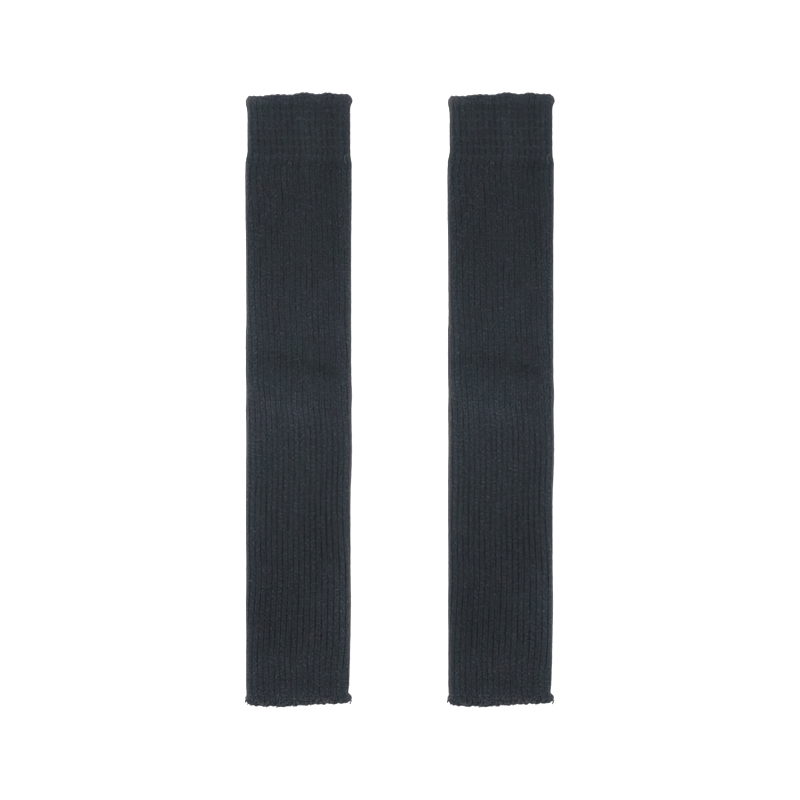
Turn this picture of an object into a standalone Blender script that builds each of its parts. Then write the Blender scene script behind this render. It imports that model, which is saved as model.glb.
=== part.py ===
"""A pair of long ribbed knit leg warmers, laid flat side by side on a surface.

Each warmer is a tube of knitted cloth in three pieces, top to bottom: an elasticated cuff with a
turned top edge, the plain ribbed leg, and a narrow flared hem. The tube lies flattened, so that its
two layers rest on each other, with a thin slit between them that is open at both ends.

Frame: metres, +X across the pair, +Y along the tubes towards the cuffs, +Z up. The origin is on the
surface that the pair rests on, midway between the two warmers and midway along them.
Sizes below are in millimetres unless they say otherwise.
"""

import math
from collections import namedtuple

import bmesh
import bpy

MM = 0.001

# The pair
SPACING = 197.4  # between the centre lines of the two warmers
SEAM_GAP = 0.3  # left between two pieces where they are joined

# The cloth: thickness of one wall at a rib's crest
CUFF_WALL = 2.5
LEG_WALL = 2.1
HEM_WALL = 2.2
FOLD_PUFF = 0.9  # how much thicker the tube is at its side folds than in the middle
FOLD_REACH = 14.0  # how far in from a side fold that extra thickness dies away

# The ribs, counted round the whole tube
RIBS_ROUND = 39
RIBS_SHAPED = 25  # over the upper layer and round both side folds
RIB_PITCH = 5.44
RIB_PROFILE = (0.0, 1.0, 1.0)  # height over one rib, from the groove: 0 in it, 1 on the crest
RIB_PHASES = (0.0, 0.3, 0.7)  # where those heights lie, as shares of the pitch
RELIEF_FADE = 1.4  # how fast the ribs flatten out below a side fold's middle
UNDERSIDE_STEPS = 5  # plain columns that close the ring under the tube

# Lengthwise places
CUFF_SEAM_Y = 234.0
HEM_SEAM_Y = -288.0
ELASTIC_PITCH = 9.2  # between the rows of elastic laid into the cuff
ELASTIC_ROWS = 5
LOWEST_ELASTIC_Y = 237.4
ELASTIC_PINCH = 0.2  # how deep a row of elastic draws the cloth in
ELASTIC_FILL = 0.7  # the share of a groove's depth that a row of elastic bridges

# The two open ends
LIP_ROUND = 1.2  # how far the rounded lip of a wall stands beyond its shoulder
LAYER_STEP = 1.5  # how far the lower layer's edge stays behind the upper one's
TOP_SCALLOP = 0.5  # how far a rib's crest stands beyond its groove along the edge
BOTTOM_SCALLOP = 1.1

# One row for each section of a flattened tube. width and centre are its outline from above, height
# the top of the cloth in the middle, relief the depth of the grooves between ribs. sway moves every
# rib sideways, and lean crowds the ribs together on one side and spreads them on the other.
Section = namedtuple("Section", "y width centre height relief sway lean")
SECTIONS = (
    Section(297.0, 102.4, 0.5, 6.3, 0.70, -3.9, -1.0),
    Section(292.3, 103.6, 0.3, 6.9, 0.70, -3.9, -1.0),
    Section(288.4, 102.1, -0.3, 6.6, 0.60, -3.8, -1.1),
    Section(284.5, 100.4, -0.4, 6.2, 0.60, -3.6, -1.2),
    Section(276.7, 99.7, -0.1, 6.0, 0.60, -3.5, -1.4),
    Section(242.0, 99.7, 0.0, 5.9, 0.60, -1.9, -2.2),
    Section(237.6, 100.7, -0.3, 5.7, 0.60, -2.2, -2.2),
    Section(234.0, 102.1, -0.4, 5.6, 0.50, -2.6, -2.2),
    Section(229.8, 103.1, -0.2, 5.9, 0.50, -3.2, -2.3),
    Section(220.0, 103.2, -0.5, 5.6, 0.50, -3.5, -2.4),
    Section(190.7, 103.1, -0.3, 5.2, 0.50, -1.7, -2.5),
    Section(155.6, 102.2, -0.4, 5.0, 0.50, -1.0, -2.1),
    Section(85.3, 101.8, -0.2, 5.2, 0.60, -0.4, -1.4),
    Section(50.1, 102.4, -0.4, 5.1, 0.60, 1.2, -1.2),
    Section(26.7, 102.3, -0.4, 4.8, 0.55, 1.4, -0.5),
    Section(3.2, 102.5, 0.3, 5.6, 0.70, 0.8, 0.6),
    Section(-8.5, 102.6, -0.2, 6.0, 0.80, 0.9, 0.6),
    Section(-31.9, 102.6, 0.1, 5.5, 0.80, 2.5, 0.4),
    Section(-59.0, 102.7, 0.0, 5.2, 0.90, 3.8, 0.3),
    Section(-102.3, 101.4, -0.8, 5.0, 0.85, 2.8, 0.3),
    Section(-172.6, 101.5, -0.5, 4.9, 0.95, 3.3, 2.1),
    Section(-196.0, 102.0, -0.4, 5.1, 0.95, 2.6, 2.3),
    Section(-231.2, 101.2, -0.6, 5.1, 0.90, 1.4, 2.6),
    Section(-278.0, 100.0, -1.2, 5.3, 0.85, 1.0, 2.5),
    Section(-286.5, 98.9, -1.5, 5.2, 0.85, 1.0, 2.4),
    Section(-288.0, 99.6, -1.0, 5.3, 0.90, 1.0, 2.4),
    Section(-290.0, 101.9, -0.2, 5.7, 1.00, 1.0, 2.4),
    Section(-293.7, 103.1, -0.3, 5.9, 1.10, 1.1, 2.4),
    Section(-297.0, 102.2, -0.3, 5.4, 1.10, 1.1, 2.4),
)

# The line that each open end makes, seen from above: x from the tube's centre line, and y.
EdgePoint = namedtuple("EdgePoint", "x y")
TOP_LEVEL = 297.0
TOP_EDGE = (
    EdgePoint(-52.0, 293.2),
    EdgePoint(-49.3, 296.0),
    EdgePoint(-42.0, 296.2),
    EdgePoint(-30.0, 297.4),
    EdgePoint(-20.0, 298.2),
    EdgePoint(-8.0, 297.5),
    EdgePoint(-1.0, 298.9),
    EdgePoint(5.0, 299.8),
    EdgePoint(10.0, 299.4),
    EdgePoint(16.0, 298.2),
    EdgePoint(21.0, 298.5),
    EdgePoint(27.0, 299.6),
    EdgePoint(36.0, 297.9),
    EdgePoint(47.0, 297.7),
    EdgePoint(50.3, 296.2),
    EdgePoint(52.3, 293.4),
)
BOTTOM_LEVEL = -297.0
BOTTOM_EDGE = (
    EdgePoint(-51.6, -294.6),
    EdgePoint(-48.0, -297.4),
    EdgePoint(-43.0, -298.5),
    EdgePoint(-30.0, -299.3),
    EdgePoint(-16.0, -299.5),
    EdgePoint(-4.0, -299.0),
    EdgePoint(5.0, -298.5),
    EdgePoint(18.0, -298.1),
    EdgePoint(36.0, -297.8),
    EdgePoint(46.0, -296.6),
    EdgePoint(51.3, -294.7),
)

# One ring of points round the tube. Each point's y moves by edge_share of the open end's line, and
# elastic is 1 on a row of elastic.
Ring = namedtuple("Ring", "y edge_share elastic")
CUFF_TOP_RINGS = (
    Ring(TOP_LEVEL - LIP_ROUND, 1.0, 0.0),
    Ring(292.3, 0.5, 0.0),
    Ring(288.4, 0.2, 0.0),
    Ring(284.5, 0.0, 0.0),
)
HEM_RINGS = (
    Ring(HEM_SEAM_Y - SEAM_GAP / 2, 0.0, 0.0),
    Ring(-290.0, 0.2, 0.0),
    Ring(-293.7, 0.5, 0.0),
    Ring(BOTTOM_LEVEL + LIP_ROUND, 1.0, 0.0),
)

# Colour and finish of the yarn
YARN_COLOUR = (0.031, 0.036, 0.042, 1.0)
YARN_ROUGHNESS = 0.95
SHARP_ANGLE = math.radians(50.0)  # edges bent more than this are shaded as edges


def blend(a, b, share):
    """The value that lies this share of the way from a to b."""
    return a + (b - a) * share


def smooth_step(t):
    """0 below 0, 1 above 1, and a soft curve between."""
    t = min(1.0, max(0.0, t))
    return t * t * (3.0 - 2.0 * t)


def section_at(y):
    """The section of the tube at this y, read between the table's rows."""
    if y >= SECTIONS[0].y:
        return SECTIONS[0]
    for upper, lower in zip(SECTIONS, SECTIONS[1:]):
        if y >= lower.y:
            share = (upper.y - y) / (upper.y - lower.y)
            return Section(*(blend(a, b, share) for a, b in zip(upper, lower)))
    return SECTIONS[-1]


def edge_line(points, x):
    """The y of an open end at this x, read between its points."""
    if x <= points[0].x:
        return points[0].y
    for left, right in zip(points, points[1:]):
        if x <= right.x:
            return blend(left.y, right.y, (x - left.x) / (right.x - left.x))
    return points[-1].y


def fold_sizes(section):
    """The radius of a section's side folds, and how far its flat stretch runs each way."""
    radius = (section.height + FOLD_PUFF) / 2.0
    return radius, section.width / 2.0 - radius


def outline_place(s, section):
    """A point of the tube's outline and its outward direction, s along it from the top's middle.

    The outline runs over the top to a side fold, half a turn round that, and back along the flat
    underside. The top settles lower in the middle than at its side folds. Returns x, z, and the
    direction as x and z.
    """
    radius, flat = fold_sizes(section)
    side = math.copysign(1.0, s)
    past = abs(s) - flat
    if past <= 0.0:
        return s, 2.0 * radius - FOLD_PUFF * smooth_step(-past / FOLD_REACH), 0.0, 1.0
    turn = past / radius
    if turn < math.pi:
        across, up = side * math.sin(turn), math.cos(turn)
        return side * flat + radius * across, radius + radius * up, across, up
    return side * (flat - (past - math.pi * radius)), 0.0, 0.0, -1.0


def rib_place(rib, section):
    """Where a place counted in ribs from the top's middle lies along the outline."""
    crowding = math.sin(2.0 * math.pi * rib / RIBS_ROUND) ** 2
    return rib * RIB_PITCH + section.sway + section.lean * crowding


class Tube:
    """One knitted piece of a warmer, as rings of points round it that are joined into a closed wall."""

    def __init__(self, wall, edge=None, edge_level=0.0, scallop=0.0):
        self.wall = wall
        self.edge = edge
        self.edge_level = edge_level
        self.scallop = scallop
        self.mesh = bmesh.new()

    def point(self, ring, s, crest, depth):
        """A vertex `depth` inside the outline at s; crest says how far it is from groove to crest."""
        section = section_at(ring.y)
        x, z, across, up = outline_place(s, section)
        x, z = x - across * depth, z - up * depth
        y = ring.y
        if ring.edge_share:
            below = (1.0 - up) / 2.0
            outward = math.copysign(1.0, self.edge_level)
            rise = edge_line(self.edge, x) - self.edge_level
            rise += outward * (self.scallop * (crest - 0.5) - LAYER_STEP * below)
            y += ring.edge_share * rise
        return self.mesh.verts.new(((section.centre + x) * MM, y * MM, z * MM))

    def places(self, section, phases):
        """Places along the outline: the shaped ribs, then plain columns across the underside.

        Returns pairs of s and crest height. The last ones carry on round the underside, and stop
        one step before they meet the first.
        """
        first = -RIBS_SHAPED / 2.0
        found = []
        for rib in range(RIBS_SHAPED):
            for phase, crest in phases:
                found.append((rib_place(first + rib + phase, section), crest))
        found.append((rib_place(first + RIBS_SHAPED, section), 0.0))
        start = found[-1][0]
        radius, flat = fold_sizes(section)
        girth = 4.0 * flat + 2.0 * math.pi * radius
        stop = found[0][0] + girth
        for step in range(1, UNDERSIDE_STEPS):
            s = blend(start, stop, step / UNDERSIDE_STEPS)
            found.append((s if s <= girth / 2.0 else s - girth, 0.0))
        return found

    def outer_ring(self, ring, inset=0.0):
        """The ring of points on the outside, raised on each rib, or `inset` inside it for a lip."""
        section = section_at(ring.y)
        points = []
        for s, crest in self.places(section, tuple(zip(RIB_PHASES, RIB_PROFILE))):
            up = outline_place(s, section)[3]
            shaped = smooth_step(1.0 + RELIEF_FADE * min(0.0, up))
            groove = section.relief * (1.0 - crest)
            relief = groove * (1.0 - ELASTIC_FILL * ring.elastic) + ELASTIC_PINCH * ring.elastic
            depth = shaped * relief
            points.append(self.point(ring, s, crest, depth + inset * (self.wall - depth)))
        return points

    def inner_ring(self, ring):
        """The plain ring of points on the inside, one for each groove and underside column."""
        section = section_at(ring.y)
        places = self.places(section, ((0.0, 0.5),))
        return [self.point(ring, s, 0.5, self.wall) for s, _ in places]

    def skin(self, first, second):
        """Faces between two rings that have the same number of points."""
        for i in range(len(first)):
            j = (i + 1) % len(first)
            self.mesh.faces.new((first[i], first[j], second[j], second[i]))

    def rim(self, outer, inner):
        """Faces between an outer ring and the inner ring, which has one point for each rib."""
        step = len(RIB_PHASES)
        count = len(inner)
        for i in range(count):
            j = (i + 1) % count
            a = i * step if i <= RIBS_SHAPED else RIBS_SHAPED * step + i - RIBS_SHAPED
            b = a + (step if i < RIBS_SHAPED else 1)
            half = (a + b + 1) // 2
            for k in range(a, b):
                corner = inner[i] if k < half else inner[j]
                self.mesh.faces.new((outer[k], outer[(k + 1) % len(outer)], corner))
            self.mesh.faces.new((inner[i], outer[half % len(outer)], inner[j]))

    def build(self, rings, lip_at=None):
        """Joins the rings into a closed wall. lip_at is 0 or -1 for the end with a rounded lip."""
        outside = [self.outer_ring(ring) for ring in rings]
        inside = [self.inner_ring(ring) for ring in rings]
        for nested in (outside, inside):
            for first, second in zip(nested, nested[1:]):
                self.skin(first, second)
        for end in (0, -1):
            rim = outside[end]
            if end == lip_at:
                outward = math.copysign(LIP_ROUND, self.edge_level)
                crest_ring = rings[end]._replace(y=rings[end].y + outward)
                rim = self.outer_ring(crest_ring, inset=0.5)
                self.skin(outside[end], rim)
            self.rim(rim, inside[end])
        bmesh.ops.recalc_face_normals(self.mesh, faces=self.mesh.faces)


def cuff():
    """The elasticated cuff, from the rounded top edge down to the leg."""
    rings = list(CUFF_TOP_RINGS)
    for row in range(ELASTIC_ROWS - 1, -1, -1):
        y = LOWEST_ELASTIC_Y + row * ELASTIC_PITCH
        rings.append(Ring(y + ELASTIC_PITCH / 2.0, 0.0, 0.0))
        rings.append(Ring(y, 0.0, 1.0))
    rings.append(Ring(CUFF_SEAM_Y + SEAM_GAP / 2.0, 0.0, 0.0))
    tube = Tube(CUFF_WALL, TOP_EDGE, TOP_LEVEL, TOP_SCALLOP)
    tube.build(rings, lip_at=0)
    return tube.mesh


def leg():
    """The plain ribbed leg between cuff and hem."""
    rings = [Ring(CUFF_SEAM_Y - SEAM_GAP / 2.0, 0.0, 0.0)]
    for section in SECTIONS:
        if HEM_SEAM_Y < section.y < CUFF_SEAM_Y:
            rings.append(Ring(section.y, 0.0, 0.0))
    rings.append(Ring(HEM_SEAM_Y + SEAM_GAP / 2.0, 0.0, 0.0))
    tube = Tube(LEG_WALL)
    tube.build(rings)
    return tube.mesh


def hem():
    """The narrow flared hem with its scalloped edge."""
    tube = Tube(HEM_WALL, BOTTOM_EDGE, BOTTOM_LEVEL, BOTTOM_SCALLOP)
    tube.build(HEM_RINGS, lip_at=-1)
    return tube.mesh


def knit_material(name):
    """A matt charcoal yarn."""
    material = bpy.data.materials.new(name)
    material.use_nodes = True
    shader = material.node_tree.nodes["Principled BSDF"]
    shader.inputs["Base Color"].default_value = YARN_COLOUR
    shader.inputs["Roughness"].default_value = YARN_ROUGHNESS
    shader.inputs["Metallic"].default_value = 0.0
    material.diffuse_color = YARN_COLOUR
    return material


def clear_scene():
    """Removes whatever the startup scene holds."""
    for old in list(bpy.data.objects):
        bpy.data.objects.remove(old)


def main():
    """Builds each piece once and places it in both warmers."""
    clear_scene()
    for piece, shape in (("cuff", cuff), ("leg", leg), ("hem", hem)):
        built = shape()
        mesh = bpy.data.meshes.new(piece)
        built.to_mesh(mesh)
        built.free()
        mesh.materials.append(knit_material(piece + "_knit"))
        mesh.shade_smooth()
        mesh.set_sharp_from_angle(angle=SHARP_ANGLE)
        for side, across in (("left", -1.0), ("right", 1.0)):
            obj = bpy.data.objects.new(f"{side}_{piece}", mesh)
            obj.location.x = across * SPACING / 2.0 * MM
            bpy.context.scene.collection.objects.link(obj)


main()
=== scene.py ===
"""Looks for a pair of long ribbed knit leg warmers that lie flat on a pale surface.

Each warmer is a flattened tube of rib knit: an elasticated cuff, a long leg and a narrow hem with
a cast-off edge. TubeForm holds the tube's shape, KnitPiece turns one stretch of it into a closed
wall, and geometry nodes raise the ribs and stitches on that wall and add what repeats: the
cast-off loops, the elastic laid into the cuff and the loose fibres.

The tables, the tube's shape and the rows of a piece are in millimetres, and so is every size whose
name ends in _mm. Other sizes, meshes and the inputs of node trees are in metres.
"""

from __future__ import annotations

import logging
import math
from dataclasses import dataclass, field, fields
from enum import Enum
from typing import Any, Callable, Mapping, Sequence, TypeVar

import bpy
import numpy as np
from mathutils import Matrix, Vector

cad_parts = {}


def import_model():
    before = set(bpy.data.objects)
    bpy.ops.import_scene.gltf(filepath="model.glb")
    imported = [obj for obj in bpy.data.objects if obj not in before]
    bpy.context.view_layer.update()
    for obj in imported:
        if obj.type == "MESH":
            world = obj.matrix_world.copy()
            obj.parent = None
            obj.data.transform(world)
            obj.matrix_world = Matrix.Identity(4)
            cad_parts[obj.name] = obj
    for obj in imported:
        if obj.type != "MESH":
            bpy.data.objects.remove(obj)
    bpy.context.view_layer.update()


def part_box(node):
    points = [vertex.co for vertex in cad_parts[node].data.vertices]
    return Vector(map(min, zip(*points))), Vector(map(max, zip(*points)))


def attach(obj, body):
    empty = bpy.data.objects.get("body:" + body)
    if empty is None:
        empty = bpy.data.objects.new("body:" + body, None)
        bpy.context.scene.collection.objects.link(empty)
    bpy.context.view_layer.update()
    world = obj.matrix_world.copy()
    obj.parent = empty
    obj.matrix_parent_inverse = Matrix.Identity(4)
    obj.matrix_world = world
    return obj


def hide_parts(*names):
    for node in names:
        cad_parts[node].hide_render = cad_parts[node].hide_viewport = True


log = logging.getLogger("leg_warmers")

MM = 0.001
BODY = "root"
BAKE_MAP = "OFBake"
KNIT_MAP = "Knit"

Colour = tuple[float, float, float]
Row = TypeVar("Row")


def table(kind: Callable[..., Row], rows: Sequence[tuple[Any, ...]]) -> tuple[Row, ...]:
    """A table's rows, each made from its plain values."""
    return tuple(kind(*row) for row in rows)


# ---------------------------------------------------------------------------------------------
# The warmer's measurements
# ---------------------------------------------------------------------------------------------

RIBS_ROUND = 39
RIBS_ABOVE = 25
RIB_PITCH_MM = 5.44
COLUMNS_PER_RIB_ABOVE = 8
COLUMNS_PER_RIB_BELOW = 4

FOLD_PUFF_MM = 0.9
FOLD_REACH_MM = 14.0

CUFF_SEAM_MM = 234.0
HEM_SEAM_MM = -288.0
LEG_COURSES = 284
COURSE_MM = (CUFF_SEAM_MM - HEM_SEAM_MM) / LEG_COURSES
UPPER_LEG_COURSES = 126

LAID_WIDTH = 0.103
CUFF_CUT = 0.066
HEM_CUT = 0.011
CUFF_WALL_MM = 2.5
WALL_MM = 2.1

ELASTIC_LEVELS_MM = (237.1, 245.9, 254.7, 264.2, 272.7, 280.6, 290.3)

TOP_LEVEL_MM = 297.0
BOTTOM_LEVEL_MM = -297.0
LIP_ROUND_MM = 1.2
LIP_INSIDE_MM = 1.5
SCALLOP_MM = 0.35
LAYER_STEP_MM = 1.5

# Where each part of the wall lies on the bake map, as the heights that its rows start and end at.
OUTSIDE_STRIP = (1.0, 0.08)
INSIDE_STRIP = (0.065, 0.002)
LOWER_RIM_STRIP = (0.0755, 0.0715)
UPPER_RIM_STRIP = (0.0695, 0.0665)


@dataclass(frozen=True)
class Section:
    """One cross-section of a flattened tube.

    y is its place along the tube, width and centre its outline from above, and height the top of
    the cloth in the middle. groove is how deep the line between two ribs is, midline the line
    between the two wales of a rib, and crown how far a rib rounds down to its sides.
    """

    y: float
    width: float
    centre: float
    height: float
    groove: float
    midline: float
    crown: float


SECTIONS = table(Section, (
    (297.0, 103.3, 0.44, 6.3, 0.38, 0.24, 0.15),
    (292.3, 104.5, 0.24, 6.9, 0.38, 0.24, 0.15),
    (288.4, 103.0, -0.36, 6.6, 0.42, 0.20, 0.15),
    (284.5, 101.3, -0.46, 6.2, 0.43, 0.23, 0.20),
    (276.7, 100.6, -0.16, 6.0, 0.44, 0.23, 0.25),
    (242.0, 100.6, -0.06, 5.9, 0.42, 0.23, 0.25),
    (237.6, 101.6, -0.36, 5.7, 0.44, 0.24, 0.22),
    (234.0, 103.0, -0.46, 5.6, 0.48, 0.31, 0.22),
    (229.8, 104.0, -0.26, 5.9, 0.56, 0.35, 0.18),
    (220.0, 104.1, -0.56, 5.6, 0.52, 0.34, 0.18),
    (190.7, 104.0, -0.36, 5.2, 0.52, 0.36, 0.15),
    (155.6, 103.1, -0.46, 5.0, 0.52, 0.36, 0.15),
    (85.3, 102.7, -0.26, 5.2, 0.53, 0.34, 0.18),
    (50.1, 103.3, -0.46, 5.1, 0.53, 0.36, 0.18),
    (26.7, 103.2, -0.46, 4.9, 0.52, 0.38, 0.18),
    (3.2, 103.4, 0.24, 5.6, 0.62, 0.45, 0.18),
    (-8.5, 103.5, -0.26, 6.0, 0.78, 0.46, 0.16),
    (-31.9, 103.5, 0.04, 5.5, 0.48, 0.11, 0.28),
    (-59.0, 103.6, -0.06, 5.2, 0.48, 0.09, 0.28),
    (-102.3, 102.3, -0.86, 5.0, 0.50, 0.11, 0.28),
    (-172.6, 102.4, -0.56, 4.9, 0.82, 0.37, 0.22),
    (-196.0, 102.9, -0.46, 5.1, 0.82, 0.37, 0.22),
    (-231.2, 102.1, -0.66, 5.1, 0.82, 0.37, 0.22),
    (-278.0, 100.9, -1.26, 5.3, 0.55, 0.26, 0.20),
    (-286.5, 99.8, -1.56, 5.2, 0.53, 0.26, 0.20),
    (-288.0, 100.5, -1.06, 5.3, 0.53, 0.26, 0.20),
    (-290.0, 102.8, -0.26, 5.6, 0.53, 0.26, 0.20),
    (-293.7, 104.0, -0.36, 5.6, 0.53, 0.26, 0.20),
    (-297.0, 103.1, -0.36, 5.2, 0.53, 0.26, 0.20),
))


@dataclass(frozen=True)
class RibPath:
    """Where the ribs run at one place along a warmer.

    sway moves every rib sideways, lean crowds the ribs on one side and thins them out on the other,
    and spread draws them away from the middle, or towards it where it is negative.
    """

    y: float
    sway: float
    lean: float
    spread: float


RIB_PATHS = table(RibPath, (
    (297.0, -3.6, -0.6, 1.8), (256.0, -2.2, -1.0, 0.9), (243.0, -1.0, -1.3, 0.9),
    (236.0, -1.2, -1.4, 0.7), (230.0, -2.3, -1.7, 0.8), (220.0, -2.6, -2.7, 1.0),
    (196.0, -1.0, -3.0, 0.8), (180.0, -0.8, -2.5, 0.3), (160.0, -0.4, -1.6, 0.4),
    (94.0, 0.0, -1.3, 0.6), (76.0, 0.8, -1.6, -0.3), (58.0, 1.9, -1.4, -0.3),
    (42.0, 1.8, -0.4, 0.1), (28.0, 2.4, -1.8, -0.5), (6.0, 0.8, 0.7, -0.5),
    (-5.0, 0.8, 1.7, -1.1), (-14.0, 2.2, 1.1, -1.0), (-28.0, 3.3, -0.1, -0.8),
    (-50.0, 3.8, 0.0, -0.5), (-80.0, 4.0, 0.0, -1.2), (-116.0, 3.6, 0.1, -0.8),
    (-152.0, 3.7, 1.0, 0.2), (-170.0, 3.6, 2.0, 0.3), (-206.0, 2.6, 1.9, 1.2),
    (-240.0, 1.7, 1.9, 1.8), (-256.0, 0.9, 2.1, 1.3), (-270.0, 1.9, 0.2, 0.4),
    (-297.0, 2.5, 0.6, 0.6),
))


@dataclass(frozen=True)
class WearBand:
    """How light the yarn is painted at one place along a warmer, where 1 is its plain tone.

    The bands are partly painted light and shade of the soft folds and of the turned edges, and
    partly the yarn's own uneven tone. left and right are how much of the folds' painted light shows
    there at each fold.
    """

    y: float
    tone: float
    left: float
    right: float


# Painted light and shade of the soft folds and turned edges, with the yarn's own tone.
SHADE_AND_TONE_BANDS = table(WearBand, (
    (297.0, 1.056, 0.68, 0.75), (293.0, 0.98, 0.68, 0.72), (290.3, 0.97, 0.65, 0.65),
    (287.0, 0.865, 0.6, 0.58), (283.0, 0.77, 0.57, 0.5), (279.0, 0.815, 0.55, 0.5),
    (250.0, 0.795, 0.55, 0.58), (240.0, 0.795, 0.55, 0.62), (236.0, 0.845, 0.6, 0.75),
    (232.5, 0.785, 0.68, 0.72), (229.0, 0.757, 0.76, 0.7), (225.0, 0.76, 0.82, 0.72),
    (220.0, 0.77, 0.85, 0.78), (200.0, 0.755, 0.88, 0.8), (165.0, 0.765, 0.9, 0.84),
    (110.0, 0.847, 0.92, 0.85), (60.0, 0.916, 0.9, 0.82), (32.0, 0.87, 0.9, 0.8),
    (8.0, 1.005, 0.75, 0.72), (-12.0, 1.077, 0.68, 0.68), (-38.0, 0.931, 0.82, 0.86),
    (-80.0, 0.865, 0.85, 1.04), (-140.0, 0.8, 0.85, 1.1), (-225.0, 0.79, 0.85, 1.06),
    (-250.0, 0.81, 0.8, 0.85), (-258.0, 0.845, 0.8, 0.8), (-275.0, 0.82, 0.75, 0.72),
    (-287.0, 0.915, 0.8, 0.7), (-291.0, 0.99, 0.85, 0.75), (-294.0, 0.85, 0.85, 0.95),
    (-295.8, 1.55, 0.85, 0.95), (-297.0, 2.1, 0.85, 0.95),
))


@dataclass(frozen=True)
class Crease:
    """A soft trough or ridge across the upper layer, or a patch that looks lighter or darker.

    x and y are its middle, length and breadth how far it reaches along and across itself, and rise
    its height, negative for a trough. turn is its angle from the X axis in degrees and tone how
    much lighter, or darker where it is negative, the cloth is painted on it: painted shade in a
    trough and painted light on a ridge, and a plain lighter or darker patch where there is no rise.
    """

    x: float
    y: float
    length: float
    breadth: float
    turn: float
    rise: float
    tone: float


# Troughs carry painted shade and ridges painted light; the rows without rise are patches painted
# lighter or darker.
CREASES = table(Crease, (
    (-16.0, 38.0, 24.0, 8.0, -8.0, -0.35, -0.06),
    (26.0, 26.0, 16.0, 7.0, -6.0, -0.40, -0.16),
    (-28.0, 12.0, 26.0, 9.0, 4.0, 0.25, 0.03),
    (-26.0, -6.0, 26.0, 10.0, -6.0, 0.35, 0.11),
    (8.0, -16.0, 24.0, 8.0, -4.0, 0.35, 0.05),
    (36.0, -8.0, 10.0, 18.0, 0.0, -0.25, -0.12),
    (30.0, 228.0, 14.0, 8.0, 5.0, -0.30, -0.10),
    (-30.0, 222.0, 22.0, 8.0, -4.0, 0.25, 0.03),
    (7.0, 256.0, 8.0, 24.0, 0.0, 0.30, 0.10),
    (31.0, 262.0, 9.0, 30.0, 0.0, -0.20, -0.05),
    (-42.0, 291.0, 14.0, 8.0, 4.0, 0.35, 0.30),
    (-42.0, 272.0, 8.0, 22.0, 0.0, 0.20, 0.08),
    (-8.0, 150.0, 30.0, 26.0, 12.0, -0.20, -0.02),
    (-34.0, 66.0, 14.0, 30.0, 0.0, 0.25, 0.06),
    (18.0, 100.0, 24.0, 22.0, -14.0, 0.20, 0.02),
    (-36.0, -60.0, 14.0, 60.0, 0.0, 0.25, 0.06),
    (12.0, -130.0, 26.0, 30.0, 10.0, -0.20, -0.03),
    (-26.0, -222.0, 18.0, 34.0, -8.0, -0.20, -0.05),
    (38.0, -190.0, 14.0, 56.0, 0.0, 0.20, 0.10),
    (-36.0, -272.0, 16.0, 12.0, 0.0, 0.25, 0.02),
    (-43.0, 60.0, 9.0, 230.0, 0.0, 0.0, 0.04),
    (8.0, 190.0, 4.0, 85.0, 0.0, 0.0, 0.06),
    (8.0, 118.0, 7.0, 14.0, 0.0, 0.0, 0.055),
    (-4.5, -85.0, 2.6, 60.0, 0.0, 0.0, 0.09),
    (20.0, -115.0, 15.0, 50.0, 0.0, 0.0, -0.035),
    (-14.0, -202.0, 14.0, 26.0, 0.0, 0.0, -0.055),
    (30.0, -202.0, 13.0, 24.0, 0.0, 0.0, 0.05),
    (-42.0, -130.0, 8.0, 24.0, 0.0, 0.0, 0.06),
    (43.0, 20.0, 6.0, 10.0, 0.0, 0.0, 0.08),
    (20.0, 255.0, 12.0, 14.0, 0.0, 0.0, 0.055),
    (-9.0, 68.0, 9.0, 12.0, 0.0, 0.0, -0.05),
    (-30.0, 18.0, 14.0, 8.0, 0.0, 0.0, 0.05),
    (-12.0, -9.0, 18.0, 4.0, -3.0, 0.0, 0.07),
    (20.0, 31.0, 14.0, 4.0, -4.0, 0.0, -0.06),
    (-19.0, 42.0, 10.0, 5.0, -8.0, 0.0, -0.05),
    (-3.0, -205.0, 3.5, 30.0, 0.0, 0.0, -0.07),
    (-30.0, -218.0, 5.0, 26.0, 0.0, 0.0, -0.05),
    (-9.0, 230.5, 5.0, 2.0, 0.0, 0.0, -0.12),
))


@dataclass(frozen=True)
class Glow:
    """How much lighter the yarn is painted, by how far past the flat cloth it lies.

    It is partly painted sheen and bounced light where the cloth turns over, partly its lighter
    fuzz.
    """

    past: float
    tone: float


# Painted sheen and bounced light along the folds, partly for their lighter fuzz.
FOLD_GLOW = table(Glow, (
    (-14.0, 1.03), (-8.0, 1.15), (-4.0, 1.34), (-1.5, 1.43), (0.0, 1.78), (1.1, 2.6), (2.3, 3.2),
    (4.8, 2.4), (7.5, 1.0),
))
# Painted light round the cuff's top lip, where it turns over, partly for its lighter fuzz.
LIP_GLOW = table(Glow, (
    (-4.5, 1.0), (-2.8, 1.08), (-1.8, 1.16), (-0.8, 1.27), (-0.3, 1.55), (0.2, 2.1), (1.2, 2.4),
))


def glow_at(glows: Sequence[Glow], past: np.ndarray) -> np.ndarray:
    """How much lighter the yarn is painted at these places, by one of the glow tables."""
    return np.interp(past, [g.past for g in glows], [g.tone for g in glows])


@dataclass(frozen=True)
class Flare:
    """How much of an open end's line is felt at a distance back from that end."""

    back: float
    share: float


CUFF_FLARE = table(Flare, ((0.0, 1.0), (3.5, 0.5), (7.4, 0.2), (11.3, 0.0)))
HEM_FLARE = table(Flare, ((0.0, 1.0), (3.5, 0.6), (7.0, 0.0)))


@dataclass(frozen=True)
class EdgePoint:
    """A point of the line that an open end or a loose yarn makes, seen from above."""

    x: float
    y: float


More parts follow.
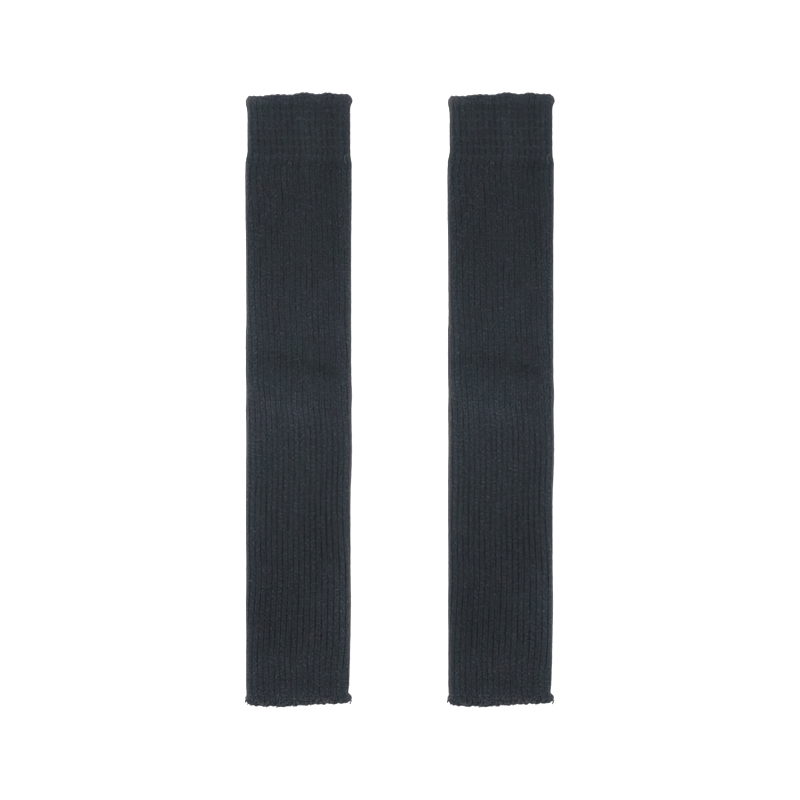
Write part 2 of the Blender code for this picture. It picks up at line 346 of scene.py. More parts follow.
TOP_EDGE = table(EdgePoint, (
    (-52.2, 294.4), (-49.6, 296.3), (-42.0, 296.2), (-35.0, 296.3), (-30.0, 297.2), (-20.0, 298.0),
    (-8.0, 297.4), (-1.0, 298.9), (5.0, 300.0), (10.0, 299.4), (16.0, 298.1), (21.0, 298.3),
    (27.0, 299.9), (32.0, 299.2), (36.0, 298.4), (41.0, 298.3), (47.0, 298.2), (50.3, 297.0),
    (52.5, 294.6),
))
BOTTOM_EDGE = table(EdgePoint, (
    (-52.0, -295.6), (-48.0, -298.3), (-42.0, -299.9), (-36.0, -299.6), (-32.0, -300.5),
    (-27.0, -299.7), (-16.0, -300.9), (-7.0, -299.6), (-2.0, -300.1), (1.0, -298.3),
    (5.0, -299.5), (15.0, -298.0), (25.0, -298.4), (28.5, -297.1), (34.0, -298.1), (39.0, -297.1),
    (44.0, -297.3), (51.0, -295.0),
))


@dataclass(frozen=True)
class LooseYarn:
    """A short length that arches over the cloth by up to rise_mm, with both ends tucked in."""

    rise_mm: float
    path: tuple[EdgePoint, ...]


LOOSE_YARNS = (
    LooseYarn(1.2, table(EdgePoint, (
        (49.6, 240.1), (48.4, 239.3), (47.0, 238.3), (45.6, 237.2), (44.5, 236.3), (44.6, 234.8),
        (45.0, 233.2), (45.5, 231.7), (46.4, 230.7), (47.4, 230.7), (47.8, 231.6),
    ))),
    LooseYarn(1.3, table(EdgePoint, (
        (-10.6, 228.6), (-10.5, 229.4), (-9.9, 230.3), (-9.0, 230.8), (-8.1, 230.5), (-7.4, 229.7),
        (-7.2, 228.8),
    ))),
)


class Side(Enum):
    """Which warmer of the pair, by the sign of its X."""

    LEFT = -1
    RIGHT = 1

    @property
    def label(self) -> str:
        """The first word of the side's node names."""
        return self.name.lower()

    @property
    def offset_mm(self) -> float:
        """The X of this warmer's axis, measured between the frame's two legs.

        Returns:
            The X in millimetres.
        """
        low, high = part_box("right_leg")
        left_low, left_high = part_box("left_leg")
        return self.value * ((low.x + high.x - left_low.x - left_high.x) / 4.0 / MM)


class Stretch(Enum):
    """The stretches of a warmer that are made as separate pieces, by the pieces' names."""

    CUFF = "cuff_cloth"
    UPPER_LEG = "upper_leg_cloth"
    LOWER_LEG = "lower_leg_cloth"
    HEM = "hem_cloth"

    @property
    def node(self) -> str:
        """The CAD node that the stretch stands for, without its side."""
        return self.value.split("_")[-2]

    @property
    def slot(self) -> str:
        """The record's material slot for the stretch."""
        return f"{self.node}_knit"


# ---------------------------------------------------------------------------------------------
# Node trees
# ---------------------------------------------------------------------------------------------


class Wire:
    """A socket whose arithmetic adds Math nodes to its tree."""

    def __init__(self, graph: Graph, socket: bpy.types.NodeSocket) -> None:
        """Wraps an output socket of a node in the graph."""
        self.graph = graph
        self.socket = socket

    def __add__(self, other: Wire | float) -> Wire:
        """Sum."""
        return self.graph.math("ADD", self, other)

    def __sub__(self, other: Wire | float) -> Wire:
        """Difference."""
        return self.graph.math("SUBTRACT", self, other)

    def __rsub__(self, other: float) -> Wire:
        """Difference, with the number first."""
        return self.graph.math("SUBTRACT", other, self)

    def __mul__(self, other: Wire | float) -> Wire:
        """Product."""
        return self.graph.math("MULTIPLY", self, other)

    def __truediv__(self, other: Wire | float) -> Wire:
        """Quotient."""
        return self.graph.math("DIVIDE", self, other)

    __radd__ = __add__
    __rmul__ = __mul__


class Graph:
    """Adds nodes to a tree and links them."""

    def __init__(self, tree: bpy.types.NodeTree) -> None:
        """Starts on a tree."""
        self.tree = tree

    def node(
        self,
        kind: str,
        settings: Mapping[str, Any] | None = None,
        inputs: Mapping[str | int, Any] | None = None,
    ) -> bpy.types.Node:
        """Adds a node.

        Args:
            kind: The node's type name.
            settings: Its own properties, which are set first.
            inputs: Values or wires for its sockets, by name or number.

        Returns:
            The new node.
        """
        made = self.tree.nodes.new(kind)
        for name, value in (settings or {}).items():
            setattr(made, name, value)
        for key, value in (inputs or {}).items():
            self.feed(made.inputs[key], value)
        return made

    def wire(
        self,
        kind: str,
        settings: Mapping[str, Any] | None = None,
        inputs: Mapping[str | int, Any] | None = None,
        output: str | int = 0,
    ) -> Wire:
        """Adds a node and returns one of its outputs.

        Args:
            kind: The node's type name.
            settings: Its own properties.
            inputs: Values or wires for its sockets.
            output: The name or number of the output.

        Returns:
            That output.
        """
        return Wire(self, self.node(kind, settings, inputs).outputs[output])

    def feed(self, socket: bpy.types.NodeSocket, value: Any) -> None:
        """Links a wire to a socket, or sets the socket to a plain value.

        Args:
            socket: An input of a node in the tree.
            value: The wire or the value.
        """
        if isinstance(value, Wire):
            self.tree.links.new(value.socket, socket)
        else:
            socket.default_value = value

    def parts(self, vector: Wire) -> tuple[Wire, Wire, Wire]:
        """The three numbers of a vector."""
        split = self.node("ShaderNodeSeparateXYZ", inputs={0: vector})
        return tuple(Wire(self, out) for out in split.outputs)

    def math(self, operation: str, *values: Wire | float) -> Wire:
        """The result of a Math node with that operation on these values."""
        return self.wire("ShaderNodeMath", {"operation": operation}, dict(enumerate(values)))

    def positive(self, value: Wire) -> Wire:
        """The value where it is above zero, and zero elsewhere."""
        return self.math("MAXIMUM", value, 0.0)

    def zigzag(self, value: Wire) -> Wire:
        """1 where the value is a whole number, falling evenly to 0 halfway to the next one."""
        return self.math("ABSOLUTE", self.math("FRACT", value) - 0.5) * 2.0

    def scaled(self, vector: Wire, factor: Wire | float) -> Wire:
        """A vector or colour times a number."""
        inputs = {0: vector, "Scale": factor}
        return self.wire("ShaderNodeVectorMath", {"operation": "SCALE"}, inputs)

    def summed(self, first: Wire, second: Wire) -> Wire:
        """The sum of two vectors."""
        return self.wire("ShaderNodeVectorMath", {"operation": "ADD"}, {0: first, 1: second})

    def vector(self, x: Wire | float, y: Wire | float, z: Wire | float) -> Wire:
        """A vector from three numbers."""
        return self.wire("ShaderNodeCombineXYZ", inputs={0: x, 1: y, 2: z})

    def held(self, name: str) -> Wire:
        """A number that a mesh holds for each of its points, read in its material."""
        return self.wire("ShaderNodeAttribute", {"attribute_name": name}, output="Fac")

    def chance(self, cell: Wire) -> Wire:
        """A number from 0 to 1 that is the same all over a cell, given the cell's place."""
        return self.wire("ShaderNodeTexWhiteNoise", {"noise_dimensions": "3D"}, {"Vector": cell})

    def noise(self, where: Wire, scale: float, detail: float = 2.0) -> Wire:
        """Smooth noise between about 0 and 1, `scale` lumps to a unit of the given vector."""
        inputs = {"Vector": where, "Scale": scale, "Detail": detail}
        return self.wire("ShaderNodeTexNoise", {"noise_dimensions": "3D"}, inputs)

    def mixed(self, share: Wire, first: Wire | Colour, second: Wire | Colour) -> Wire:
        """One colour fading to another.

        Args:
            share: How much of the second colour there is, held between 0 and 1.
            first: The colour at 0.
            second: The colour at 1.

        Returns:
            The mixed colour.
        """
        inputs: dict[str, Any] = {"Factor": self.math("MINIMUM", self.positive(share), 1.0)}
        for key, colour in (("A", first), ("B", second)):
            inputs[key] = colour if isinstance(colour, Wire) else (*colour, 1.0)
        return self.wire("ShaderNodeMix", {"data_type": "RGBA"}, inputs, output="Result")


class GeometryGraph(Graph):
    """A geometry node tree with named inputs, which a modifier runs once on a carrier."""

    def __init__(self, name: str, sizes: Sequence[str], counts: Sequence[str]) -> None:
        """Makes the tree and its interface, which also takes a geometry and a material.

        Args:
            name: The tree's name.
            sizes: The names of its inputs that take any number.
            counts: The names of its inputs that take a whole number.
        """
        super().__init__(bpy.data.node_groups.new(name, "GeometryNodeTree"))
        kinds = {
            **dict.fromkeys(sizes, "NodeSocketFloat"),
            **dict.fromkeys(counts, "NodeSocketInt"),
            "Material": "NodeSocketMaterial",
        }
        face = self.tree.interface
        for way in ("OUTPUT", "INPUT"):
            face.new_socket(name="Geometry", in_out=way, socket_type="NodeSocketGeometry")
        self.sockets = {
            key: face.new_socket(name=key, in_out="INPUT", socket_type=kind).identifier
            for key, kind in kinds.items()
        }
        self.entry = self.tree.nodes.new("NodeGroupInput")

    def given(self, name: str) -> Wire:
        """One of the tree's inputs."""
        return Wire(self, self.entry.outputs[name])

    def attribute(self, name: str, kind: str = "FLOAT") -> Wire:
        """An attribute of the geometry, by its name and data type."""
        return self.wire("GeometryNodeInputNamedAttribute", {"data_type": kind}, {"Name": name})

    def random(self, low: float, high: float, seed: Wire) -> Wire:
        """A random number between two limits for each point."""
        inputs = {"Min": low, "Max": high, "Seed": seed}
        return self.wire("FunctionNodeRandomValue", {"data_type": "FLOAT"}, inputs, "Value")

    def tube(self, path: Wire, radius: Wire, sides: Wire | int) -> Wire:
        """A round closed yarn along a curve.

        Args:
            path: The curve.
            radius: The yarn's radius.
            sides: How many sides the yarn has.

        Returns:
            The yarn's mesh.
        """
        inputs = {"Resolution": sides, "Radius": radius}
        ring = self.wire("GeometryNodeCurvePrimitiveCircle", inputs=inputs)
        inputs = {0: path, "Profile Curve": ring, "Fill Caps": True}
        return self.wire("GeometryNodeCurveToMesh", inputs=inputs)

    def planted(self, points: Wire, thing: Wire, facing: Wire, turn: Wire, size: Wire) -> Wire:
        """A copy of one thing on each point.

        Args:
            points: Where the copies go.
            thing: What is copied.
            facing: Each copy's rotation.
            turn: A further turn about the copy's own axes.
            size: Each copy's scale.

        Returns:
            The copies, as instances.
        """
        inputs = {"Rotation": facing, "Rotate By": turn}
        turned = self.wire("FunctionNodeRotateRotation", {"rotation_space": "LOCAL"}, inputs)
        inputs = {0: points, "Instance": thing, "Rotation": turned, "Scale": size}
        return self.wire("GeometryNodeInstanceOnPoints", inputs=inputs)

    def finish(self, geometry: Wire) -> None:
        """Ends the tree, with nothing left below the surface that the cloth lies on.

        Args:
            geometry: What the tree has made.
        """
        real = self.wire("GeometryNodeRealizeInstances", inputs={0: geometry})
        x, y, z = self.parts(self.wire("GeometryNodeInputPosition"))
        level = self.vector(x, y, self.positive(z))
        resting = self.wire("GeometryNodeSetPosition", inputs={0: real, "Position": level})
        shaded = self.wire("GeometryNodeSetShadeSmooth", inputs={0: resting})
        inputs = {0: shaded, "Material": self.given("Material")}
        dressed = self.wire("GeometryNodeSetMaterial", inputs=inputs)
        out = self.tree.nodes.new("NodeGroupOutput")
        self.tree.links.new(dressed.socket, out.inputs[0])

    def run(
        self, carrier: bpy.types.Object, values: Mapping[str, Any], name: str
    ) -> bpy.types.Object:
        """Runs the tree on a carrier and keeps the result as a plain mesh.

        Args:
            carrier: The object that the tree starts from. It is removed.
            values: A value for each named input.
            name: The new piece's name.

        Returns:
            The new piece, at the origin.
        """
        modifier = carrier.modifiers.new(self.tree.name, "NODES")
        modifier.node_group = self.tree
        for key, value in values.items():
            modifier[self.sockets[key]] = value
        bpy.context.view_layer.update()
        graph = bpy.context.evaluated_depsgraph_get()
        mesh = bpy.data.meshes.new_from_object(
            carrier.evaluated_get(graph), preserve_all_data_layers=True, depsgraph=graph
        )
        carrier.modifiers.remove(modifier)
        bpy.data.objects.remove(carrier)
        mesh.name = name
        return link_object(name, mesh)


def knit_relief_tree() -> GeometryGraph:
    """Raises ribs and stitches on a smooth skin.

    The skin's points carry where they are in ribs and courses, how deep the lines there are and
    which way is out. Each rib has two wales, and each wale two legs that slant to a V.

    Returns:
        The tree.
    """
    g = GeometryGraph(
        "Knit relief",
        ("Stitch Height", "Stitch Slant", "Unevenness", "Irregularity", "Wander"),
        ("Seed",),
    )
    rib, course, knit = g.attribute("rib"), g.attribute("course"), g.attribute("knit")

    # How near a point is to a groove between ribs, to a wale's edge or centre, and to a leg.
    to_groove = g.zigzag(rib)
    to_edge = g.zigzag(rib * 2.0)
    at_groove = g.positive(to_groove * 4.0 - 3.0)
    at_edge = g.positive(to_edge * 2.0 - 1.0)
    at_centre = g.positive(1.0 - to_edge * 2.0)
    on_leg = 1.0 - g.math("ABSOLUTE", to_edge * 2.0 - 1.0)

    # The lines between ribs and between wales, which are deeper in some places than in others.
    ribbing = at_groove * g.attribute("groove") + to_groove * to_groove * g.attribute("crown")
    wales = at_edge * (1.0 - to_groove) * g.attribute("midline")
    line = g.vector(g.math("FLOOR", rib * 2.0 + 0.5) * 0.77 + 0.3, course * 0.07, g.given("Seed"))
    irregular = 1.0 + (g.noise(line, 1.0, 4.0) - 0.5) * g.given("Irregularity")
    depth = (ribbing + wales) * irregular + at_centre * g.given("Stitch Height") * 0.4

    # The stitches: one wave to a course, with each loop a little higher or lower than the next.
    loop = g.vector(g.math("FLOOR", rib * 2.0), g.math("FLOOR", course + 0.5), g.given("Seed"))
    wave = g.math("COSINE", course * math.tau) * g.given("Stitch Height") * 0.5
    stitch = wave * (on_leg * 0.6 + 0.4)
    uneven = (g.chance(loop) - 0.5) * g.given("Unevenness") * (1.0 - at_edge)

    # The ribs' drift from side to side, and the slant that makes two legs a V.
    drift = g.noise(g.vector(rib * 0.35, course * 0.05, g.given("Seed")), 1.0)
    sideways = (drift - 0.5) * g.given("Wander")
    slant = (to_edge - 0.5) * g.given("Stitch Slant") * g.attribute("slant")

    raised = g.scaled(g.attribute("outward", "FLOAT_VECTOR"), (stitch + uneven - depth) * knit)
    moved = g.summed(raised, g.vector(sideways * knit, slant, 0.0))
    inputs = {0: g.given("Geometry"), "Offset": moved}
    placed = g.wire("GeometryNodeSetPosition", inputs=inputs)

    # How hollow each point is, deeper between courses, which the yarn reads to paint shade there.
    between = 0.5 - g.math("COSINE", course * math.tau) * 0.5
    hollow = depth / MM + between * 0.25
    stored = g.wire(
        "GeometryNodeStoreNamedAttribute",
        {"data_type": "FLOAT", "domain": "POINT"},
        {0: placed, "Name": "hollow", "Value": hollow * knit},
    )
    g.finish(stored)
    return g


def loop_tree() -> GeometryGraph:
    """Sets a hairpin loop of yarn on each point, lying down the cloth towards its edge.

    Returns:
        The tree.
    """
    g = GeometryGraph(
        "Cast-off loops",
        ("Loop Width", "Loop Length", "Loop Rise", "Yarn Radius", "Tilt"),
        ("Steps", "Sides", "Seed"),
    )
    line = g.wire("GeometryNodeMeshLine", inputs={"Count": g.given("Steps")})
    turn = g.wire("GeometryNodeInputIndex") / (g.given("Steps") - 1.0) * math.pi
    across = g.math("COSINE", turn) * g.given("Loop Width") * 0.5
    down = g.math("SINE", turn)
    shape = g.vector(across, down * g.given("Loop Length") * -1.0, down * g.given("Loop Rise"))
    bent = g.wire("GeometryNodeSetPosition", inputs={0: line, "Position": shape})
    curve = g.wire("GeometryNodeMeshToCurve", inputs={0: bent})
    tube = g.tube(curve, g.given("Yarn Radius"), g.given("Sides"))
    facing = g.wire(
        "FunctionNodeAxesToRotation",
        {"primary_axis": "Z", "secondary_axis": "Y"},
        {
            "Primary Axis": g.attribute("outward", "FLOAT_VECTOR"),
            "Secondary Axis": g.attribute("upwards", "FLOAT_VECTOR"),
        },
    )
    swing = g.random(-1.0, 1.0, g.given("Seed")) * g.given("Tilt") * g.attribute("level")
    inputs = {"Axis": Vector((0.0, 0.0, 1.0)), "Angle": swing}
    tilt = g.wire("FunctionNodeAxisAngleToRotation", inputs=inputs)
    size = g.random(0.65, 1.25, g.given("Seed") + 1.0)
    g.finish(g.planted(g.given("Geometry"), tube, facing, tilt, size))
    return g


def thread_tree() -> GeometryGraph:
    """Turns lines of points into round threads.

    Returns:
        The tree.
    """
    g = GeometryGraph("Laid-in thread", ("Thread Radius",), ("Sides",))
    curve = g.wire("GeometryNodeMeshToCurve", inputs={0: g.given("Geometry")})
    g.finish(g.tube(curve, g.given("Thread Radius"), g.given("Sides")))
    return g


def fibre_tree() -> GeometryGraph:
    """Scatters short bent fibres over a carrier, denser where its nap attribute is high.

    Returns:
        The tree.
    """
    g = GeometryGraph(
        "Loose fibres", ("Density", "Fibre Length", "Fibre Radius", "Lean"), ("Seed",)
    )
    length, lean, seed = g.given("Fibre Length"), g.given("Lean"), g.given("Seed")
    bend = {
        "Resolution": 3,
        "Start": g.vector(0.0, 0.0, length * -0.1),
        "Middle": g.vector(0.0, length * 0.12, length * 0.45),
        "End": g.vector(length * 0.55, length * 0.3, length * 0.5),
    }
    hair = g.wire("GeometryNodeCurveQuadraticBezier", inputs=bend)
    tube = g.tube(hair, g.given("Fibre Radius"), 3)
    density = g.attribute("nap") * g.given("Density")
    scatter = g.node(
        "GeometryNodeDistributePointsOnFaces",
        {"distribute_method": "RANDOM"},
        {0: g.given("Geometry"), "Density": density, "Seed": seed},
    )
    points, facing = (Wire(g, scatter.outputs[name]) for name in ("Points", "Rotation"))
    spin = g.wire(
        "FunctionNodeRandomValue",
        {"data_type": "FLOAT_VECTOR"},
        {
            "Min": g.vector(lean * -1.0, lean * -1.0, 0.0),
            "Max": g.vector(lean, lean, math.tau),
            "Seed": seed + 1.0,
        },
    )
    g.finish(g.planted(points, tube, facing, spin, g.random(0.5, 1.6, seed + 2.0)))
    return g


# ---------------------------------------------------------------------------------------------
# Finishes
# ---------------------------------------------------------------------------------------------

NAPPED = {
    "Roughness": 0.95,
    "Specular IOR Level": 0.1,
    "Sheen Weight": 0.3,
    "Sheen Roughness": 0.4,
    "Sheen Tint": (0.92, 0.95, 1.0, 1.0),
}
PALE_FLOOR = {
    "Base Color": (0.9, 0.9, 0.9, 1.0),
    "Roughness": 0.9,
    "Specular IOR Level": 0.1,
    "Emission Color": (1.0, 1.0, 1.0, 1.0),
    "Emission Strength": 0.5,
}


def principled(
    name: str, constants: Mapping[str, Any]
) -> tuple[bpy.types.Material, Graph, bpy.types.Node]:
    """Starts a node material.

    Args:
        name: The material's name.
        constants: The values of the shader's sockets that are the same all over.

    Returns:
        The material, its graph and its Principled shader.
    """
    made = bpy.data.materials.new(name)
    made.use_nodes = True
    shader = made.node_tree.nodes["Principled BSDF"]
    for key, value in constants.items():
        shader.inputs[key].default_value = value
    return made, Graph(made.node_tree), shader


@dataclass(frozen=True)
class Speckle:
    """One layer of a yarn's unevenness, in cells that hold one lightness each.

    across is how many cells there are to a rib and along how many to a course. Where a layer is
    paired, two neighbouring cells that way lie on opposite sides of the mean. strength is in
    doublings of lightness.
    """

    strength: float
    across: float = 8.0
    along: float = 2.0
    paired_across: bool = False
    paired_along: bool = False


@dataclass(frozen=True)
class YarnFinish:
    """Matt charcoal yarn, knitted: painted shade in the hollows and between stitches, unevenly
    dyed, with a faint bloom.

    It follows the knit map, whose U counts ribs and whose V counts courses.

    Attributes:
        name: The material's name.
        unevenness: How much of the speckles shows.
        cool: The yarn's hue, at one end of its wandering.
        warm: The hue at the other end.
        blue: The hue where the dye took bluer.
        deep: The hue in shaded places.
        brushed: The greyer hue where the yarn is painted lighter, at its folds and lips.
        brushed_from: The tone above which that grey starts to show.
        brushed_to: The tone at which it shows altogether.
        deep_from: The shade below which the deep hue shows.
        crest_shade: The shade on the crests, where nothing is hollow.
        hollow_dark: How much painted shade darkens a hollow.
        hollow_limit: The hollow past which it gets no darker.
        speckles: The layers of speckles.
        stray: How far the speckles' edges stray with the fibres.
        streaks: How strong the streaks along the ribs are, in doublings of lightness.
        grain: How strong the fibres' grain is, in doublings of lightness.
        gap_dark: How much painted shade darkens the gap between two stitches.
        bump_mm: How high the finest relief stands.
    """

    name: str
    unevenness: float
    cool: Colour = (0.0207, 0.0291, 0.0317)
    warm: Colour = (0.0267, 0.0273, 0.0337)
    blue: Colour = (0.0235, 0.0282, 0.0392)
    deep: Colour = (0.0184, 0.0275, 0.0410)
    # The grey hue of the painted light on the folds and lips.
    brushed: Colour = (0.0312, 0.0298, 0.0320)
    brushed_from: float = 1.25
    brushed_to: float = 2.4
    deep_from: float = 0.85
    crest_shade: float = 1.15
    hollow_dark: float = 0.75
    hollow_limit: float = 1.1
    speckles: tuple[Speckle, ...] = (
        Speckle(0.8),
        Speckle(0.8, 5.0, 1.5, paired_across=True),
        Speckle(0.9, 5.0, 1.5, paired_along=True),
        Speckle(1.5, 5.0, 1.5, paired_across=True, paired_along=True),
    )
    stray: float = 1.6
    streaks: float = 0.5
    grain: float = 0.4
    gap_dark: float = 0.65
    bump_mm: float = 0.22

    def material(self) -> bpy.types.Material:
        """Builds the material.

        Returns:
            The material.
        """
        made, g, shader = principled(self.name, NAPPED)
        place = g.wire("ShaderNodeTexCoord", output="Object")
        hollow, tone = g.held("hollow"), g.held("tone")
        rib, course, _ = g.parts(g.wire("ShaderNodeUVMap", {"uv_map": KNIT_MAP}))

        # The fibres' grain, streaks along the ribs and the gaps between stitches.
        fibre = g.noise(place, 1000.0)
        streak = g.noise(g.vector(rib * 0.8, course * 0.04, 0.0), 1.0)
        gap = g.math("POWER", 1.0 - g.zigzag(course), 3.0) * g.held("knit")

        # The shade: painted shade in the hollows and the gaps between stitches, times the speckles,
        # and the hue that it is given.
        uneven = (fibre - 0.5) * self.grain + (streak - 0.5) * self.streaks
        uneven = uneven + self.speckled(g, rib, course, (fibre - 0.5) * self.stray)
        shade = self.crest_shade - g.math("MINIMUM", hollow, self.hollow_limit) * self.hollow_dark
        # Painted shade in the gaps between stitches.
        shade = shade * g.math("POWER", 2.0, uneven) * (1.0 - gap * self.gap_dark)
        dye = self.dye(g, place, rib, course, tone)
        dye = g.mixed((self.deep_from - shade) * 1.5, dye, self.deep)
        # The base colour carries the painted shade and the tone, which holds painted light and
        # shade.
        g.feed(shader.inputs["Base Color"], g.scaled(dye, g.positive(shade * tone)))

        # The relief that is finer than the mesh: a stitch's legs, its yarn's twist and its fibres.
        strand_crest = 1.0 - g.zigzag(rib * 4.0)
        twist = g.math("SINE", (course * 3.0 + rib * 10.0) * math.tau)
        strands = g.noise(place, 2600.0)
        height = strand_crest * 0.8 - gap * 0.8 + twist * 0.1 + strands * 0.7 + fibre * 0.8
        inputs = {"Strength": 0.7, "Distance": self.bump_mm * MM, "Height": height}
        g.feed(shader.inputs["Normal"], g.wire("ShaderNodeBump", inputs=inputs))
        return made

    def speckled(self, g: Graph, rib: Wire, course: Wire, stray: Wire) -> Wire:
        """The speckles at a place on the knit.

        Args:
            g: The material's graph.
            rib: The place in ribs.
            course: The place in courses.
            stray: How far the cells' edges are astray there.

        Returns:
            The sum of the speckles, in doublings of lightness.
        """
        total: Wire | float = 0.0
        for number, layer in enumerate(self.speckles):
            corner: list[Wire] = []
            sign: Wire | float = 1.0
            for place, paired in (
                (rib * layer.across + stray, layer.paired_across),
                (course * layer.along + stray, layer.paired_along),
            ):
                half = g.math("FLOOR", place) * 0.5
                corner.append(g.math("FLOOR", half) if paired else half)
                if paired:
                    sign = sign * (1.0 - g.math("FRACT", half) * 4.0)
            value = g.chance(g.vector(*corner, 7.0 + number)) - 0.5
            total = total + value * sign * (layer.strength * self.unevenness)
        return total

    def dye(self, g: Graph, place: Wire, rib: Wire, course: Wire, tone: Wire) -> Wire:
        """The yarn's hue: it wanders from cool to warm and to blue, and greys where it is painted
        lighter.

        Args:
            g: The material's graph.
            place: The place on the object.
            rib: The place in ribs.
            course: The place in courses.
            tone: How light the yarn looks there.

        Returns:
            The hue, at its plain lightness.
        """
        yarn = g.mixed(g.noise(place, 70.0, 3.0) * 2.6 - 0.95, self.cool, self.warm)
        steeped = g.noise(g.vector(rib, course * 0.33, 31.0), 0.5, 3.0)
        yarn = g.mixed(steeped * 1.3 - 0.4, yarn, self.blue)
        # The painted light turns the hue greyer.
        brushed = (tone - self.brushed_from) / (self.brushed_to - self.brushed_from)
        return g.mixed(brushed, yarn, self.brushed)


@dataclass(frozen=True)
class StrandFinish:
    """Loose yarn, thread or fibre, with no knit pattern of its own.

    Attributes:
        name: The material's name.
        colour: Its mean colour.
        grain: How much its lightness varies.
        lumps: How many lumps of light and dark there are to a metre.
    """

    name: str
    colour: Colour
    grain: float = 0.5
    lumps: float = 1100.0

    def material(self) -> bpy.types.Material:
        """Builds the material.

        Returns:
            The material.
        """
        made, g, shader = principled(self.name, NAPPED)
        fibre = g.noise(g.wire("ShaderNodeTexCoord", output="Object"), self.lumps)
        base = g.wire("ShaderNodeRGB")
        base.socket.default_value = (*self.colour, 1.0)
        g.feed(shader.inputs["Base Color"], g.scaled(base, 1.0 + (fibre - 0.5) * self.grain))
        return made


# ---------------------------------------------------------------------------------------------
# The tube's shape
# ---------------------------------------------------------------------------------------------


def course_at(y: np.ndarray) -> np.ndarray:
    """The course at each y. Whole numbers are stitches' middles, and seams lie between."""
    return (CUFF_SEAM_MM - y) / COURSE_MM + 0.5


def soft_step(value: np.ndarray) -> np.ndarray:
    """0 below 0, 1 above 1, and a soft curve between."""
    t = np.clip(value, 0.0, 1.0)
    return t * t * (3.0 - 2.0 * t)


def smooth_curve(levels: np.ndarray, values: np.ndarray, where: np.ndarray) -> np.ndarray:
    """A smooth curve through a table's values that doesn't overshoot them.

    Args:
        levels: The table's places, rising.
        values: The value at each place.
        where: The places to read.

    Returns:
        The value at each place read.
    """
    step = np.diff(levels)
    slope = np.diff(values) / step
    product, total = slope[1:] * slope[:-1], slope[1:] + slope[:-1]
    inner = np.where(product > 0.0, 2.0 * product / np.where(total == 0.0, 1.0, total), 0.0)
    tangent = np.concatenate(([slope[0]], inner, [slope[-1]]))
    at = np.clip(where, levels[0], levels[-1])
    i = np.clip(np.searchsorted(levels, at) - 1, 0, len(step) - 1)
    t = (at - levels[i]) / step[i]
    rise = values[i + 1] - values[i]
    a = tangent[i] * step[i] - rise
    b = rise - tangent[i + 1] * step[i]
    return values[i] + t * rise + t * (1.0 - t) * (a * (1.0 - t) + b * t)


@dataclass
class Surface:
    """Points on the tube's outline, about the warmer's own axis.

    Attributes:
        point: Where each lies.
        outward: The direction away from the cloth.
        past: How far round the outline each lies beyond the start of its fold.
    """

    point: np.ndarray
    outward: np.ndarray
    past: np.ndarray

    @property
    def up(self) -> np.ndarray:
        """How far each point faces up: 1 on the upper layer and -1 on the lower."""
        return self.outward[..., 2]


